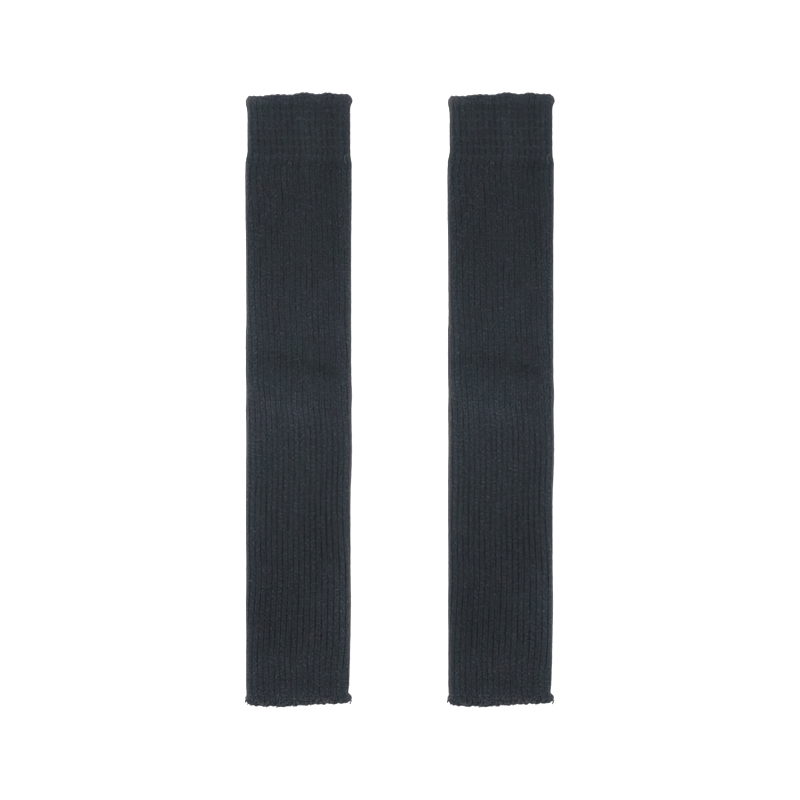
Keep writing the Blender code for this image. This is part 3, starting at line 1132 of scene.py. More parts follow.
class TubeForm:
    """The shape of one flattened tube: where any place in ribs and millimetres lies."""

    def __init__(self, tables: Sequence[Sequence[Any]], creases: Sequence[Crease]) -> None:
        """Keeps each column of the tables as a curve along the tube.

        Args:
            tables: Tables whose rows are dataclasses with y as their first field.
            creases: The upper layer's soft troughs, ridges and patches.
        """
        self.curves: dict[str, tuple[np.ndarray, np.ndarray]] = {}
        for entries in tables:
            rows = sorted(entries, key=lambda row: row.y)
            levels = np.array([row.y for row in rows])
            for column in fields(rows[0])[1:]:
                values = np.array([getattr(row, column.name) for row in rows])
                self.curves[column.name] = (levels, values)
        self.creases = creases

    def read(self, name: str, y: np.ndarray) -> np.ndarray:
        """One column of the tables at these heights."""
        levels, values = self.curves[name]
        return smooth_curve(levels, values, y)

    def crease_share(self, crease: Crease, x: np.ndarray, y: np.ndarray) -> np.ndarray:
        """How much of a crease is felt.

        Args:
            crease: The crease.
            x: Each place's X about the warmer's axis.
            y: Each place's Y.

        Returns:
            A share from 0 to 1 for each place.
        """
        turn = math.radians(crease.turn)
        along = (x - crease.x) * math.cos(turn) + (y - crease.y) * math.sin(turn)
        across = (y - crease.y) * math.cos(turn) - (x - crease.x) * math.sin(turn)
        return np.exp(-((along / crease.length) ** 2) - (across / crease.breadth) ** 2)

    def place(self, rib: np.ndarray, y: np.ndarray) -> Surface:
        """Places on the outline.

        Args:
            rib: Where each is round the tube, in ribs from a groove under the left fold.
            y: Where it is along the tube.

        Returns:
            The points and their outward directions.
        """
        rib, y = np.broadcast_arrays(rib, y)
        centre, width = self.read("centre", y), self.read("width", y)
        radius = (self.read("height", y) + FOLD_PUFF_MM) / 2.0
        flat = width / 2.0 - radius
        girth = 4.0 * flat + math.tau * radius
        half = RIBS_ABOVE / 2.0
        count = rib - half

        def reach(ribs: np.ndarray | float) -> np.ndarray:
            """How far round from the top's middle a number of ribs reaches.

            Args:
                ribs: The ribs, negative to the left.

            Returns:
                The way round the outline at each y.
            """
            side = np.sin(math.tau * np.asarray(ribs) / RIBS_ROUND)
            shift = self.read("sway", y) + self.read("lean", y) * side**2
            return ribs * RIB_PITCH_MM + shift + self.read("spread", y) * side

        below = (count - half) / (RIBS_ROUND - RIBS_ABOVE)
        start, stop = reach(half), reach(-half) + girth
        s = np.where(count <= half, reach(count), start + (stop - start) * below)
        s = np.where(s > girth / 2.0, s - girth, s)

        side, past = np.sign(s), np.abs(s) - flat
        turn = np.clip(past / radius, 0.0, math.pi)
        across, up = side * np.sin(turn), np.cos(turn)
        x = np.where(past <= 0.0, s, side * flat + radius * across)
        x = np.where(turn >= math.pi, side * (flat - (past - math.pi * radius)), x)
        z = radius + radius * up - FOLD_PUFF_MM * soft_step(-past / FOLD_REACH_MM)
        for crease in self.creases:
            z = z + crease.rise * self.crease_share(crease, x, y) * np.maximum(up, 0.0)
        point = np.stack((x + centre, y, z), axis=-1)
        outward = np.stack((across, np.zeros_like(up), up), axis=-1)
        return Surface(point, outward, past)

    def tone(self, surface: Surface) -> np.ndarray:
        """How light the yarn is painted: the bands' tone, the creases' painted shade and light and
        the folds' painted light.

        Args:
            surface: Points on the tube.

        Returns:
            The tone at each point, where 1 is the yarn's plain tone.
        """
        x, y = surface.point[..., 0], surface.point[..., 1]
        tone = self.read("tone", y)
        share = np.where(x < 0.0, self.read("left", y), self.read("right", y))
        # Painted shade in the creases' troughs and painted light on their ridges.
        for crease in self.creases:
            felt = self.crease_share(crease, x, y) * np.maximum(surface.up, 0.0)
            tone = tone + crease.tone * felt
        # Painted sheen and bounced light where the cloth turns over at a fold.
        return tone * (1.0 + (glow_at(FOLD_GLOW, surface.past) - 1.0) * share)


@dataclass(frozen=True)
class FreeEnd:
    """An open end with a rounded lip.

    Attributes:
        edge: The line that the end makes, seen from above.
        level: The y that the line is measured from.
        outward: 1 at the upper end and -1 at the lower.
        flare: How far from the end the edge's line is felt.
        glow: How much lighter the lip is painted, as painted light where it turns over.
        scallop: How far a rib stands beyond its groove along the edge.
        steps: How many rows the lip has.
        straight: How far from the end the stitches lose their slant.
    """

    edge: tuple[EdgePoint, ...]
    level: float
    outward: int
    flare: tuple[Flare, ...]
    glow: tuple[Glow, ...] = (Glow(0.0, 1.0),)
    scallop: float = SCALLOP_MM
    steps: int = 7
    straight: float = 3.5

    @property
    def shoulder(self) -> float:
        """The y at which the lip starts to turn."""
        return self.level - self.outward * LIP_ROUND_MM

    def share(self, y: np.ndarray) -> np.ndarray:
        """How much of the edge's line is felt at each y."""
        back = (self.shoulder - y) * self.outward
        return np.interp(back, [f.back for f in self.flare], [f.share for f in self.flare])

    def lightening(self, y: np.ndarray) -> np.ndarray:
        """How much lighter the yarn is painted at each y round the lip, as painted light where it
        turns over.
        """
        return glow_at(self.glow, (y - self.shoulder) * self.outward)

    def slant(self, y: np.ndarray) -> np.ndarray:
        """How much of the stitches' slant is left at each y, because the last ones lie level."""
        return soft_step((self.shoulder - y) * self.outward / self.straight)

    def shift(self, surface: Surface, rib: np.ndarray, y: np.ndarray) -> np.ndarray:
        """How far points move to follow the edge's line.

        Args:
            surface: The points, before they move.
            rib: Where each is round the tube, in ribs.
            y: Where each row is along the tube.

        Returns:
            The way along Y for each point.
        """
        x = surface.point[..., 0]
        line = np.interp(x, [p.x for p in self.edge], [p.y for p in self.edge])
        crest = 0.5 - 0.5 * np.cos(math.tau * rib)
        back = (1.0 - surface.up) / 2.0 * LAYER_STEP_MM
        bump = self.scallop * (crest - 0.5) - back
        return self.share(y) * (line - self.level + self.outward * bump)


# ---------------------------------------------------------------------------------------------
# Meshes
# ---------------------------------------------------------------------------------------------


def link_object(name: str, mesh: bpy.types.Mesh) -> bpy.types.Object:
    """Puts a mesh into the scene.

    Args:
        name: The object's name.
        mesh: The mesh.

    Returns:
        The object.
    """
    made = bpy.data.objects.new(name, mesh)
    bpy.context.scene.collection.objects.link(made)
    return made


def thread_carrier(
    name: str, points: np.ndarray, edges: Sequence[tuple[int, int]]
) -> bpy.types.Object:
    """Makes a carrier of bare points and the edges between them.

    Args:
        name: The name of the piece that will be made from it.
        points: One row for each point.
        edges: The numbers of the points that each edge joins.

    Returns:
        The carrier.
    """
    mesh = bpy.data.meshes.new(name + "_carrier")
    mesh.from_pydata([tuple(p) for p in points], edges, [])
    return link_object(mesh.name, mesh)


def put_attribute(mesh: bpy.types.Mesh, name: str, values: np.ndarray) -> None:
    """Stores a value, or a vector where there are three to a row, for each point of a mesh.

    Args:
        mesh: The mesh.
        name: The attribute's name.
        values: One entry for each point.
    """
    kind, part = ("FLOAT", "value") if values.ndim == 1 else ("FLOAT_VECTOR", "vector")
    made = mesh.attributes.new(name, kind, "POINT")
    made.data.foreach_set(part, values.astype(np.float32).ravel())


def cells(grid: np.ndarray) -> np.ndarray:
    """The four corners of each cell of a grid, row by row, in the order of a face's corners."""
    corners = (grid[:-1, :-1], grid[1:, :-1], grid[1:, 1:], grid[:-1, 1:])
    return np.stack(corners, axis=2).reshape(-1, 4, *grid.shape[2:])


def fill_mesh(
    mesh: bpy.types.Mesh,
    points: np.ndarray,
    faces: Sequence[np.ndarray],
    maps: Sequence[np.ndarray],
) -> None:
    """Fills a mesh from arrays.

    Args:
        mesh: The empty mesh.
        points: One row for each point.
        faces: Arrays of faces, each array with one number of corners.
        maps: The corners' ribs, heights on the bake map and courses, to match the faces.
    """
    loops = np.concatenate([f.ravel() for f in faces]).astype(np.int32)
    sizes = np.concatenate([np.full(len(f), f.shape[1]) for f in faces]).astype(np.int32)
    starts = np.concatenate(([0], np.cumsum(sizes)[:-1])).astype(np.int32)
    mesh.vertices.add(len(points))
    mesh.vertices.foreach_set("co", points.astype(np.float32).ravel())
    mesh.loops.add(len(loops))
    mesh.loops.foreach_set("vertex_index", loops)
    mesh.polygons.add(len(sizes))
    mesh.polygons.foreach_set("loop_start", starts)
    mesh.update(calc_edges=True)
    rib, height, course = np.concatenate([m.reshape(-1, 3) for m in maps]).T
    for name, u, v in ((BAKE_MAP, rib / RIBS_ROUND, height), (KNIT_MAP, rib, course)):
        layer = mesh.uv_layers.new(name=name)
        layer.uv.foreach_set("vector", np.stack((u, v), axis=-1).astype(np.float32).ravel())
    mesh.validate()


def fixed(piece: bpy.types.Object, slot: str, node: str | None = None) -> bpy.types.Object:
    """Fixes a finished piece to the frame and reports it.

    Args:
        piece: The piece.
        slot: Not used.
        node: The CAD node that it stands for, if it stands for one.

    Returns:
        The same piece.
    """
    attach(piece, BODY)
    if node:
        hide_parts(node)
    log.info("%s: %d faces", piece.name, len(piece.data.polygons))
    return piece


# ---------------------------------------------------------------------------------------------
# The knitted pieces
# ---------------------------------------------------------------------------------------------


@dataclass
class Rows:
    """The rows of points of a skin, in their order along it.

    Attributes:
        y: Where each row lies along the tube, before an open end's line moves it.
        inset: How far it lies inside the tube's outline.
        roll: How far round a lip it lies, from 0 outside to pi inside.
    """

    y: np.ndarray
    inset: np.ndarray
    roll: np.ndarray


@dataclass
class Skin:
    """A grid of points on a piece, by row and column.

    Attributes:
        point: Where each lies.
        outward: The direction in which relief is raised on it.
        tone: How light the yarn looks.
        up: How far it faces up.
    """

    point: np.ndarray
    outward: np.ndarray
    tone: np.ndarray
    up: np.ndarray


@dataclass
class KnitPiece:
    """One stretch of a warmer, as a closed wall with ribs and stitches raised on its outside.

    Attributes:
        side: The warmer that it belongs to.
        form: The tube's shape.
        stretch: Which stretch it is.
        top: The y of its upper end.
        bottom: The y of its lower end.
        flat: The cut's width and length, in metres. Not used.
        wall_mm: How thick the cloth is.
        stitch_height: How high a stitch stands, in metres.
        stitch_slant: How far a stitch's legs slant, in courses.
        stitch_unevenness: How much higher than its neighbour a stitch may stand, in metres.
        line_unevenness: How much the depth of the lines between ribs varies.
        rib_drift: How far the ribs drift from side to side, in metres.
        upper_end: Its lip, if its upper end is open.
        lower_end: Its lip, if its lower end is open.
        inner_step_mm: The distance between the rings of the plain inside.
        inner_tone: How much of its lightness the yarn keeps inside, as painted shade in the tube.
        draw_in_mm: How far a row of elastic draws the cloth in.
        draw_flat: How much shallower the ribs are where elastic draws the cloth in.
        draw_reach_mm: How far from a row of elastic the cloth is drawn in.
        draw_tone: How much painted light brightens the cloth over a row of elastic.
        tone_reach_mm: How far from a row of elastic that painted light reaches.
        pressed_ribs: How much shallower the ribs are on the lower layer.
        pressed_stitches: How much shallower the stitches are there.
        lip_relief: How long the relief lasts round a lip. Past 1 it lasts longer.
        nap_limit: How far up a place has to face to have any nap, where -1 is straight down.
        nap_least: The nap on the flat top, where the folds have 1.
        seed: What the stitches' unevenness starts from.
        columns: Where the outside's columns of points lie, in ribs.
    """

    side: Side
    form: TubeForm
    stretch: Stretch
    top: float
    bottom: float
    flat: tuple[float, float]
    wall_mm: float = WALL_MM
    stitch_height: float = 0.34 * MM
    stitch_slant: float = 0.95
    stitch_unevenness: float = 0.16 * MM
    line_unevenness: float = 2.4
    rib_drift: float = 0.5 * MM
    upper_end: FreeEnd | None = None
    lower_end: FreeEnd | None = None
    inner_step_mm: float = 14.0
    inner_tone: float = 0.8
    draw_in_mm: float = 0.15
    draw_flat: float = 0.3
    draw_reach_mm: float = 1.3
    draw_tone: float = 0.07
    tone_reach_mm: float = 2.0
    pressed_ribs: float = 0.45
    pressed_stitches: float = 0.35
    lip_relief: float = 1.6
    nap_limit: float = -0.3
    nap_least: float = 0.02
    seed: int = 3
    columns: np.ndarray = field(init=False)

    def __post_init__(self) -> None:
        """Lays out the columns: fine above and round the folds, and coarser below."""
        above = np.arange(RIBS_ABOVE * COLUMNS_PER_RIB_ABOVE) / COLUMNS_PER_RIB_ABOVE
        ribs_below = RIBS_ROUND - RIBS_ABOVE
        below = np.arange(ribs_below * COLUMNS_PER_RIB_BELOW) / COLUMNS_PER_RIB_BELOW
        self.columns = np.concatenate((above, RIBS_ABOVE + below))

    @property
    def name(self) -> str:
        """The piece's name."""
        return f"{self.side.label}_{self.stretch.value}"

    @property
    def open_end(self) -> FreeEnd | None:
        """The open end that this piece has, if any."""
        return self.upper_end or self.lower_end

    def lip_rows(self, end: FreeEnd) -> Rows:
        """The rows of a rounded lip, from the outside over to the inside.

        Args:
            end: The open end.

        Returns:
            The rows.
        """
        roll = np.linspace(0.0, math.pi, end.steps)
        y = end.shoulder + end.outward * LIP_ROUND_MM * np.sin(roll)
        return Rows(y, self.wall_mm / 2.0 * (1.0 - np.cos(roll)), roll)

    def outer_rows(self) -> Rows:
        """The rows of the outside, two to a course, with the lips' own rows at open ends.

        Returns:
            The rows.
        """
        half = COURSE_MM / 2.0
        clear_of_lip, rounding = 0.4, 1e-6
        first = math.ceil((CUFF_SEAM_MM - self.top) / half - rounding)
        last = math.floor((CUFF_SEAM_MM - self.bottom) / half + rounding)
        if self.upper_end:
            first = math.ceil((CUFF_SEAM_MM - self.upper_end.shoulder) / half + clear_of_lip)
        if self.lower_end:
            last = math.floor((CUFF_SEAM_MM - self.lower_end.shoulder) / half - clear_of_lip)
        y = CUFF_SEAM_MM - np.arange(first, last + 1) * half
        parts = [Rows(y, np.zeros_like(y), np.zeros_like(y))]
        if self.upper_end:
            lip = self.lip_rows(self.upper_end)
            parts.insert(0, Rows(lip.y[::-1], lip.inset[::-1], lip.roll[::-1]))
        if self.lower_end:
            parts.append(self.lip_rows(self.lower_end))
        columns = [[getattr(part, f.name) for part in parts] for f in fields(Rows)]
        return Rows(*map(np.concatenate, columns))

    def inner_rows(self) -> Rows:
        """The rings of the plain inside, from the bottom up.

        Returns:
            The rows.
        """
        top, bottom = self.top, self.bottom
        if self.upper_end:
            top = self.upper_end.shoulder - LIP_INSIDE_MM
        if self.lower_end:
            bottom = self.lower_end.shoulder + LIP_INSIDE_MM
        count = max(2, round((top - bottom) / self.inner_step_mm) + 1)
        return Rows(np.linspace(bottom, top, count), np.full(count, self.wall_mm), np.zeros(count))

    def courses(self, rows: Rows) -> np.ndarray:
        """The courses that rows lie on, counted along the cloth, which goes on round a lip.

        Args:
            rows: The rows.

        Returns:
            A column with each row's course.
        """
        end = self.open_end
        round_lip = end.outward * LIP_ROUND_MM * (rows.roll - np.sin(rows.roll)) if end else 0.0
        return course_at(rows.y + round_lip)[:, None]

    def elastic(self, y: np.ndarray, reach_mm: float) -> np.ndarray:
        """How strongly the nearest row of elastic is felt at each y, which is 0 without any."""
        return np.zeros_like(y)

    def put(self, rib: np.ndarray, rows: Rows) -> Skin:
        """Places a grid of points on the piece.

        Args:
            rib: The columns.
            rows: The rows.

        Returns:
            The points, about the warmer's own axis.
        """
        y = rows.y[:, None]
        surface = self.form.place(rib[None, :], y)
        tone = self.form.tone(surface)
        point = surface.point - surface.outward * rows.inset[:, None, None]
        outward = surface.outward * np.cos(rows.roll)[:, None, None]
        end = self.open_end
        if end:
            point[..., 1] += end.shift(surface, np.broadcast_to(rib, surface.up.shape), y)
            outward[..., 1] += end.outward * np.sin(rows.roll)[:, None]
            # Painted light round the lip.
            tone = tone * end.lightening(y)
        return Skin(point, outward, tone, surface.up)

    def relief_values(self, rows: Rows, skin: Skin) -> dict[str, np.ndarray]:
        """What the relief, the yarn and the fibres read at each point of the outside.

        Args:
            rows: The outside's rows.
            skin: The outside's points.

        Returns:
            Each attribute's values by row and column.
        """
        y = rows.y[:, None]
        end = self.open_end
        draw = self.elastic(rows.y, self.draw_reach_mm)[:, None]
        # A band of painted light over each row of elastic.
        elastic_light = self.elastic(rows.y, self.tone_reach_mm)[:, None]
        fade = np.clip(np.cos(rows.roll / 2.0) * self.lip_relief, 0.0, 1.0)[:, None]
        fade = np.where(rows.roll[:, None] >= math.pi - 1e-6, 0.0, fade)
        below = np.clip(-skin.up, 0.0, 1.0)
        shallow = (1.0 - self.draw_flat * draw) * (1.0 - self.pressed_ribs * below)
        nap = np.clip(1.0 - skin.up, self.nap_least, 1.0)
        nap = np.where(skin.up > self.nap_limit, nap, 0.0)
        values = {
            "rib": self.columns[None, :],
            "course": self.courses(rows),
            "groove": self.form.read("groove", y) * shallow * MM,
            "midline": self.form.read("midline", y) * shallow * MM,
            "crown": self.form.read("crown", y) * shallow * MM,
            "knit": fade * (1.0 - self.pressed_stitches * below),
            "slant": fade * (end.slant(y) if end else 1.0),
            "tone": skin.tone * (1.0 + self.draw_tone * elastic_light),
            "nap": nap * fade,
        }
        return {key: np.broadcast_to(value, skin.up.shape) for key, value in values.items()}

    def carrier(self) -> bpy.types.Object:
        """Builds the smooth closed wall, with the attributes that the relief reads.

        Returns:
            The wall.
        """
        rows, inner = self.outer_rows(), self.inner_rows()
        skin = self.put(self.columns, rows)
        lining = self.put(np.arange(RIBS_ROUND, dtype=float), inner)
        draw = self.elastic(rows.y, self.draw_reach_mm)[:, None, None]
        drawn = skin.point - skin.outward * (self.draw_in_mm * draw)
        points = np.concatenate((drawn.reshape(-1, 3), lining.point.reshape(-1, 3)))
        points[:, 0] += self.side.offset_mm
        mesh = bpy.data.meshes.new(self.name)
        fill_mesh(mesh, points * MM, *self.faces(rows, inner))
        self.sharpen_rims(mesh, len(rows.y))
        plain_inside = np.zeros(lining.tone.size)
        for name, values in self.relief_values(rows, skin).items():
            # The inside is darker by inner_tone: painted shade inside the tube.
            inside = lining.tone.ravel() * self.inner_tone if name == "tone" else plain_inside
            put_attribute(mesh, name, np.concatenate((values.ravel(), inside)))
        directions = (skin.outward.reshape(-1, 3), lining.outward.reshape(-1, 3))
        put_attribute(mesh, "outward", np.concatenate(directions))
        return link_object(self.name + "_carrier", mesh)

    def sharpen_rims(self, mesh: bpy.types.Mesh, rows: int) -> None:
        """Marks the outside's first and last rows as sharp, so that pieces shade as one at a seam.

        Args:
            mesh: The wall.
            rows: How many rows its outside has.
        """
        ends = np.empty(len(mesh.edges) * 2, dtype=np.int32)
        mesh.edges.foreach_get("vertices", ends)
        row = ends.reshape(-1, 2) // len(self.columns)
        level = row[:, 0] == row[:, 1]
        sharp = level & ((row[:, 0] == 0) | (row[:, 0] == rows - 1))
        made = mesh.attributes.new("sharp_edge", "BOOLEAN", "EDGE")
        made.data.foreach_set("value", sharp)

    def faces(self, outer: Rows, inner: Rows) -> tuple[list[np.ndarray], list[np.ndarray]]:
        """The wall's faces, and where their corners lie on the maps.

        The rows run down the outside, across the lower end, up the inside and across the upper
        end. The outside takes most of the bake map, and the rest takes a strip under it.

        Args:
            outer: The outside's rows.
            inner: The inside's rows.

        Returns:
            Arrays of faces of one size each, and for each an array of its corners' places: ribs
            round the tube, height on the bake map and courses down the tube.
        """
        skin = np.arange(len(outer.y) * len(self.columns)).reshape(len(outer.y), -1)
        lining = skin.size + np.arange(len(inner.y) * RIBS_ROUND).reshape(len(inner.y), -1)
        faces, maps = [], []
        for grid, ribs, rows, strip in (
            (skin, self.columns, outer, OUTSIDE_STRIP),
            (lining, np.arange(RIBS_ROUND), inner, INSIDE_STRIP),
        ):
            heights = np.linspace(*strip, len(rows.y))
            u, v = np.meshgrid(np.append(ribs, RIBS_ROUND), heights)
            course = np.broadcast_to(self.courses(rows), u.shape)
            faces.append(cells(np.concatenate((grid, grid[:, :1]), axis=1)))
            maps.append(cells(np.stack((u, v, course), axis=-1)))
        for rim_faces, rim_map in (
            self.rim(skin[-1], lining[0], LOWER_RIM_STRIP, dense_first=True),
            self.rim(skin[0], lining[-1], UPPER_RIM_STRIP, dense_first=False),
        ):
            faces.append(rim_faces)
            maps.append(rim_map)
        return faces, maps

    def rim(
        self,
        dense: np.ndarray,
        sparse: np.ndarray,
        levels: tuple[float, float],
        dense_first: bool,
    ) -> tuple[np.ndarray, np.ndarray]:
        """Triangles between a fine ring and the inside's ring, which has one point for each rib.

        Args:
            dense: The fine ring's points.
            sparse: The inside ring's points.
            levels: The fine and the sparse ring's heights on the bake map.
            dense_first: Whether the fine ring comes first in the rows' order.

        Returns:
            The triangles and their corners' places on the maps.
        """
        # Each corner is its point, its rib, its height on the bake map and its course.
        ribs = np.append(self.columns, RIBS_ROUND)
        fine = [(dense[i % len(dense)], ribs[i], levels[0], 0.0) for i in range(len(dense) + 1)]
        wide = [(sparse[j % len(sparse)], j, levels[1], 0.5) for j in range(len(sparse) + 1)]
        starts = np.append(np.searchsorted(self.columns, np.arange(RIBS_ROUND)), len(dense))
        corners = []
        for j in range(RIBS_ROUND):
            first, last = int(starts[j]), int(starts[j + 1])
            middle = (first + last) // 2
            for i in range(first, last):
                apex = wide[j] if i < middle else wide[j + 1]
                corners.append((fine[i], apex, fine[i + 1]))
            corners.append((fine[middle], wide[j], wide[j + 1]))
        if not dense_first:
            corners = [(b, a, c) for a, b, c in corners]
        numbers = np.array(corners)
        return numbers[..., 0].astype(int), numbers[..., 1:]

    def build(self, relief: GeometryGraph, material: bpy.types.Material) -> bpy.types.Object:
        """Makes the piece and fixes it to the frame.

        Args:
            relief: The tree that raises the knit.
            material: The yarn's finish.

        Returns:
            The finished piece.
        """
        values = {
            "Stitch Height": self.stitch_height,
            "Stitch Slant": self.stitch_slant * COURSE_MM * MM,
            "Unevenness": self.stitch_unevenness,
            "Irregularity": self.line_unevenness,
            "Wander": self.rib_drift,
            "Seed": self.seed,
            "Material": material,
        }
        piece = relief.run(self.carrier(), values, self.name)
        return fixed(piece, self.stretch.slot, f"{self.side.label}_{self.stretch.node}")


@dataclass
class Cuff(KnitPiece):
    """The elasticated cuff, with rows of elastic laid in and a turned top edge.

    Attributes:
        thread_radius: The elastic's radius.
        thread_depth_mm: How far below the cloth's outline it lies.
        thread_wander_mm: How far it strays from its row.
        bends_per_rib: How many points it has to a rib.
        wander_shares: How much of that it strays along each axis.
        loose_radius: The radius of the elastic that has worked out.
    """

    thread_radius: float = 0.45 * MM
    thread_depth_mm: float = 0.7
    thread_wander_mm: float = 0.3
    bends_per_rib: int = 4
    wander_shares: tuple[float, float, float] = (0.3, 1.0, 1.0)
    loose_radius: float = 0.22 * MM

    def elastic(self, y: np.ndarray, reach_mm: float) -> np.ndarray:
        """How strongly the nearest row of elastic is felt at each y, from 0 to 1."""
        away = (y[:, None] - np.array(ELASTIC_LEVELS_MM)) / reach_mm
        return np.exp(-(away**2)).sum(axis=1)

    def build_elastic(
        self, tree: GeometryGraph, material: bpy.types.Material
    ) -> bpy.types.Object:
        """Makes the threads of elastic that bridge the grooves.

        Args:
            tree: The tree that makes threads.
            material: The thread's finish.

        Returns:
            The finished threads, in one piece.
        """
        levels = np.array(ELASTIC_LEVELS_MM)
        rib = np.arange(RIBS_ROUND * self.bends_per_rib) / self.bends_per_rib
        depth = np.full(len(levels), self.thread_depth_mm)
        point = self.put(rib, Rows(levels, depth, np.zeros(len(levels)))).point
        wander = np.random.default_rng(self.seed).normal(0.0, self.thread_wander_mm, point.shape)
        point += wander * self.wander_shares
        point[..., 0] += self.side.offset_mm
        count = len(rib)
        edges = [
            (row * count + i, row * count + (i + 1) % count)
            for row in range(len(levels))
            for i in range(count)
        ]
        values = {"Thread Radius": self.thread_radius, "Sides": 5, "Material": material}
        name = f"{self.side.label}_elastic"
        carrier = thread_carrier(name, point.reshape(-1, 3) * MM, edges)
        return fixed(tree.run(carrier, values, name), self.stretch.slot)

    def build_loose_end(
        self, tree: GeometryGraph, material: bpy.types.Material
    ) -> bpy.types.Object:
        """Makes the end of elastic and the pulled loop that have worked out by the seam.

        Args:
            tree: The tree that makes threads.
            material: The thread's finish.

        Returns:
            The finished threads, in one piece.
        """
        points: list[tuple[float, float, float]] = []
        edges: list[tuple[int, int]] = []
        tucked = 0.05
        for yarn in LOOSE_YARNS:
            levels = np.array([place.y for place in yarn.path])
            arch = np.sqrt(np.sin(np.linspace(tucked, math.pi, len(levels))))
            heights = self.form.read("height", levels) + yarn.rise_mm * arch
            first = len(points)
            for place, z in zip(yarn.path, heights):
                points.append((place.x + self.side.offset_mm, place.y, z))
            edges += [(i, i + 1) for i in range(first, len(points) - 1)]
        values = {"Thread Radius": self.loose_radius, "Sides": 6, "Material": material}
        name = f"{self.side.label}_loose_end"
        carrier = thread_carrier(name, np.array(points) * MM, edges)
        return fixed(tree.run(carrier, values, name), self.stretch.slot)


@dataclass(frozen=True)
class EdgeLoops:
    """One kind of loop that the last course is cast off in.

    Attributes:
        label: What its piece is called.
        back_mm: How far back from the lip's shoulder the loops start.
        out_mm: How far outside the cloth they start, or inside it where it is negative.
        kept: The share of the wales that have one.
        width: How wide a loop is, in metres.
        length: How long it is, in metres.
        rise: How far its tip stands off the cloth, in metres.
        tilt: How far it may lean to a side, in degrees.
        steps: How many points its yarn is bent at.
        sides: How many sides its yarn has.
    """

    label: str
    back_mm: float
    out_mm: float
    kept: float
    width: float
    length: float
    rise: float
    tilt: float
    steps: int
    sides: int


HANGING_LOOPS = EdgeLoops(
    "cast_off_loops", 2.6, 0.0, 0.7, 1.15 * MM, 4.4 * MM, 0.25 * MM, 60.0, steps=11, sides=6
)
CAST_OFF_CHAIN = EdgeLoops(
    "cast_off_chain", 4.4, -0.35, 1.0, 2.0 * MM, 0.8 * MM, 0.2 * MM, 40.0, steps=8, sides=5
)


@dataclass
class Hem(KnitPiece):
    """The flared hem, whose last course is cast off in a chain with loose loops.

    Attributes:
        yarn_radius: The radius of the loops' yarn.
        loop_wander_mm: How far a loop strays from its wale.
        wander_shares: How much of that it strays along each axis.
        droop_mm: How much further down the loops hang on the left than on the right.
        droop_from_mm: The X at which they start to hang down.
        droop_width_mm: How far from there to the left they hang down altogether.
    """

    yarn_radius: float = 0.34 * MM
    loop_wander_mm: float = 0.6
    wander_shares: tuple[float, float, float] = (0.8, 1.0, 0.2)
    droop_mm: float = 0.9
    droop_from_mm: float = 25.0
    droop_width_mm: float = 50.0

    def stitch_places(self, loops: EdgeLoops, name: str) -> bpy.types.Object:
        """Points along the edge, on wales picked at random, with the directions that a loop needs.

        Args:
            loops: The kind of loop.
            name: The name of the piece that will be made from them.

        Returns:
            A carrier of loose points.
        """
        rib = (np.arange(RIBS_ROUND * 2) + 0.5) / 2.0
        rng = np.random.default_rng(self.seed)
        rib = rib[rng.random(len(rib)) < loops.kept]
        y = np.array([self.lower_end.shoulder + loops.back_mm])
        skin = self.put(rib, Rows(y, np.full(1, -loops.out_mm), np.zeros(1)))
        point = skin.point[0]
        point += rng.normal(0.0, self.loop_wander_mm, point.shape) * self.wander_shares
        left = (self.droop_from_mm - point[:, 0]) / self.droop_width_mm
        point[:, 1] -= self.droop_mm * soft_step(left)
        point[:, 0] += self.side.offset_mm
        point[:, 2] = np.maximum(point[:, 2], self.yarn_radius / MM)
        made = thread_carrier(name, point * MM, [])
        put_attribute(made.data, "outward", skin.outward[0])
        put_attribute(made.data, "level", np.abs(skin.up[0]))
        put_attribute(made.data, "upwards", np.tile((0.0, 1.0, 0.0), (len(rib), 1)))
        return made

    def build_loops(
        self, loops: EdgeLoops, tree: GeometryGraph, material: bpy.types.Material
    ) -> bpy.types.Object:
        """Makes the loops of one kind along the edge.

        Args:
            loops: The kind of loop.
            tree: The tree that makes loops.
            material: The yarn's finish.

        Returns:
            The finished loops, in one piece.
        """
        values = {
            "Loop Width": loops.width,
            "Loop Length": loops.length,
            "Loop Rise": loops.rise,
            "Yarn Radius": self.yarn_radius,
            "Tilt": math.radians(loops.tilt),
            "Steps": loops.steps,
            "Sides": loops.sides,
            "Seed": self.seed,
            "Material": material,
        }
        name = f"{self.side.label}_{loops.label}"
        piece = tree.run(self.stitch_places(loops, name), values, name)
        return fixed(piece, self.stretch.slot)


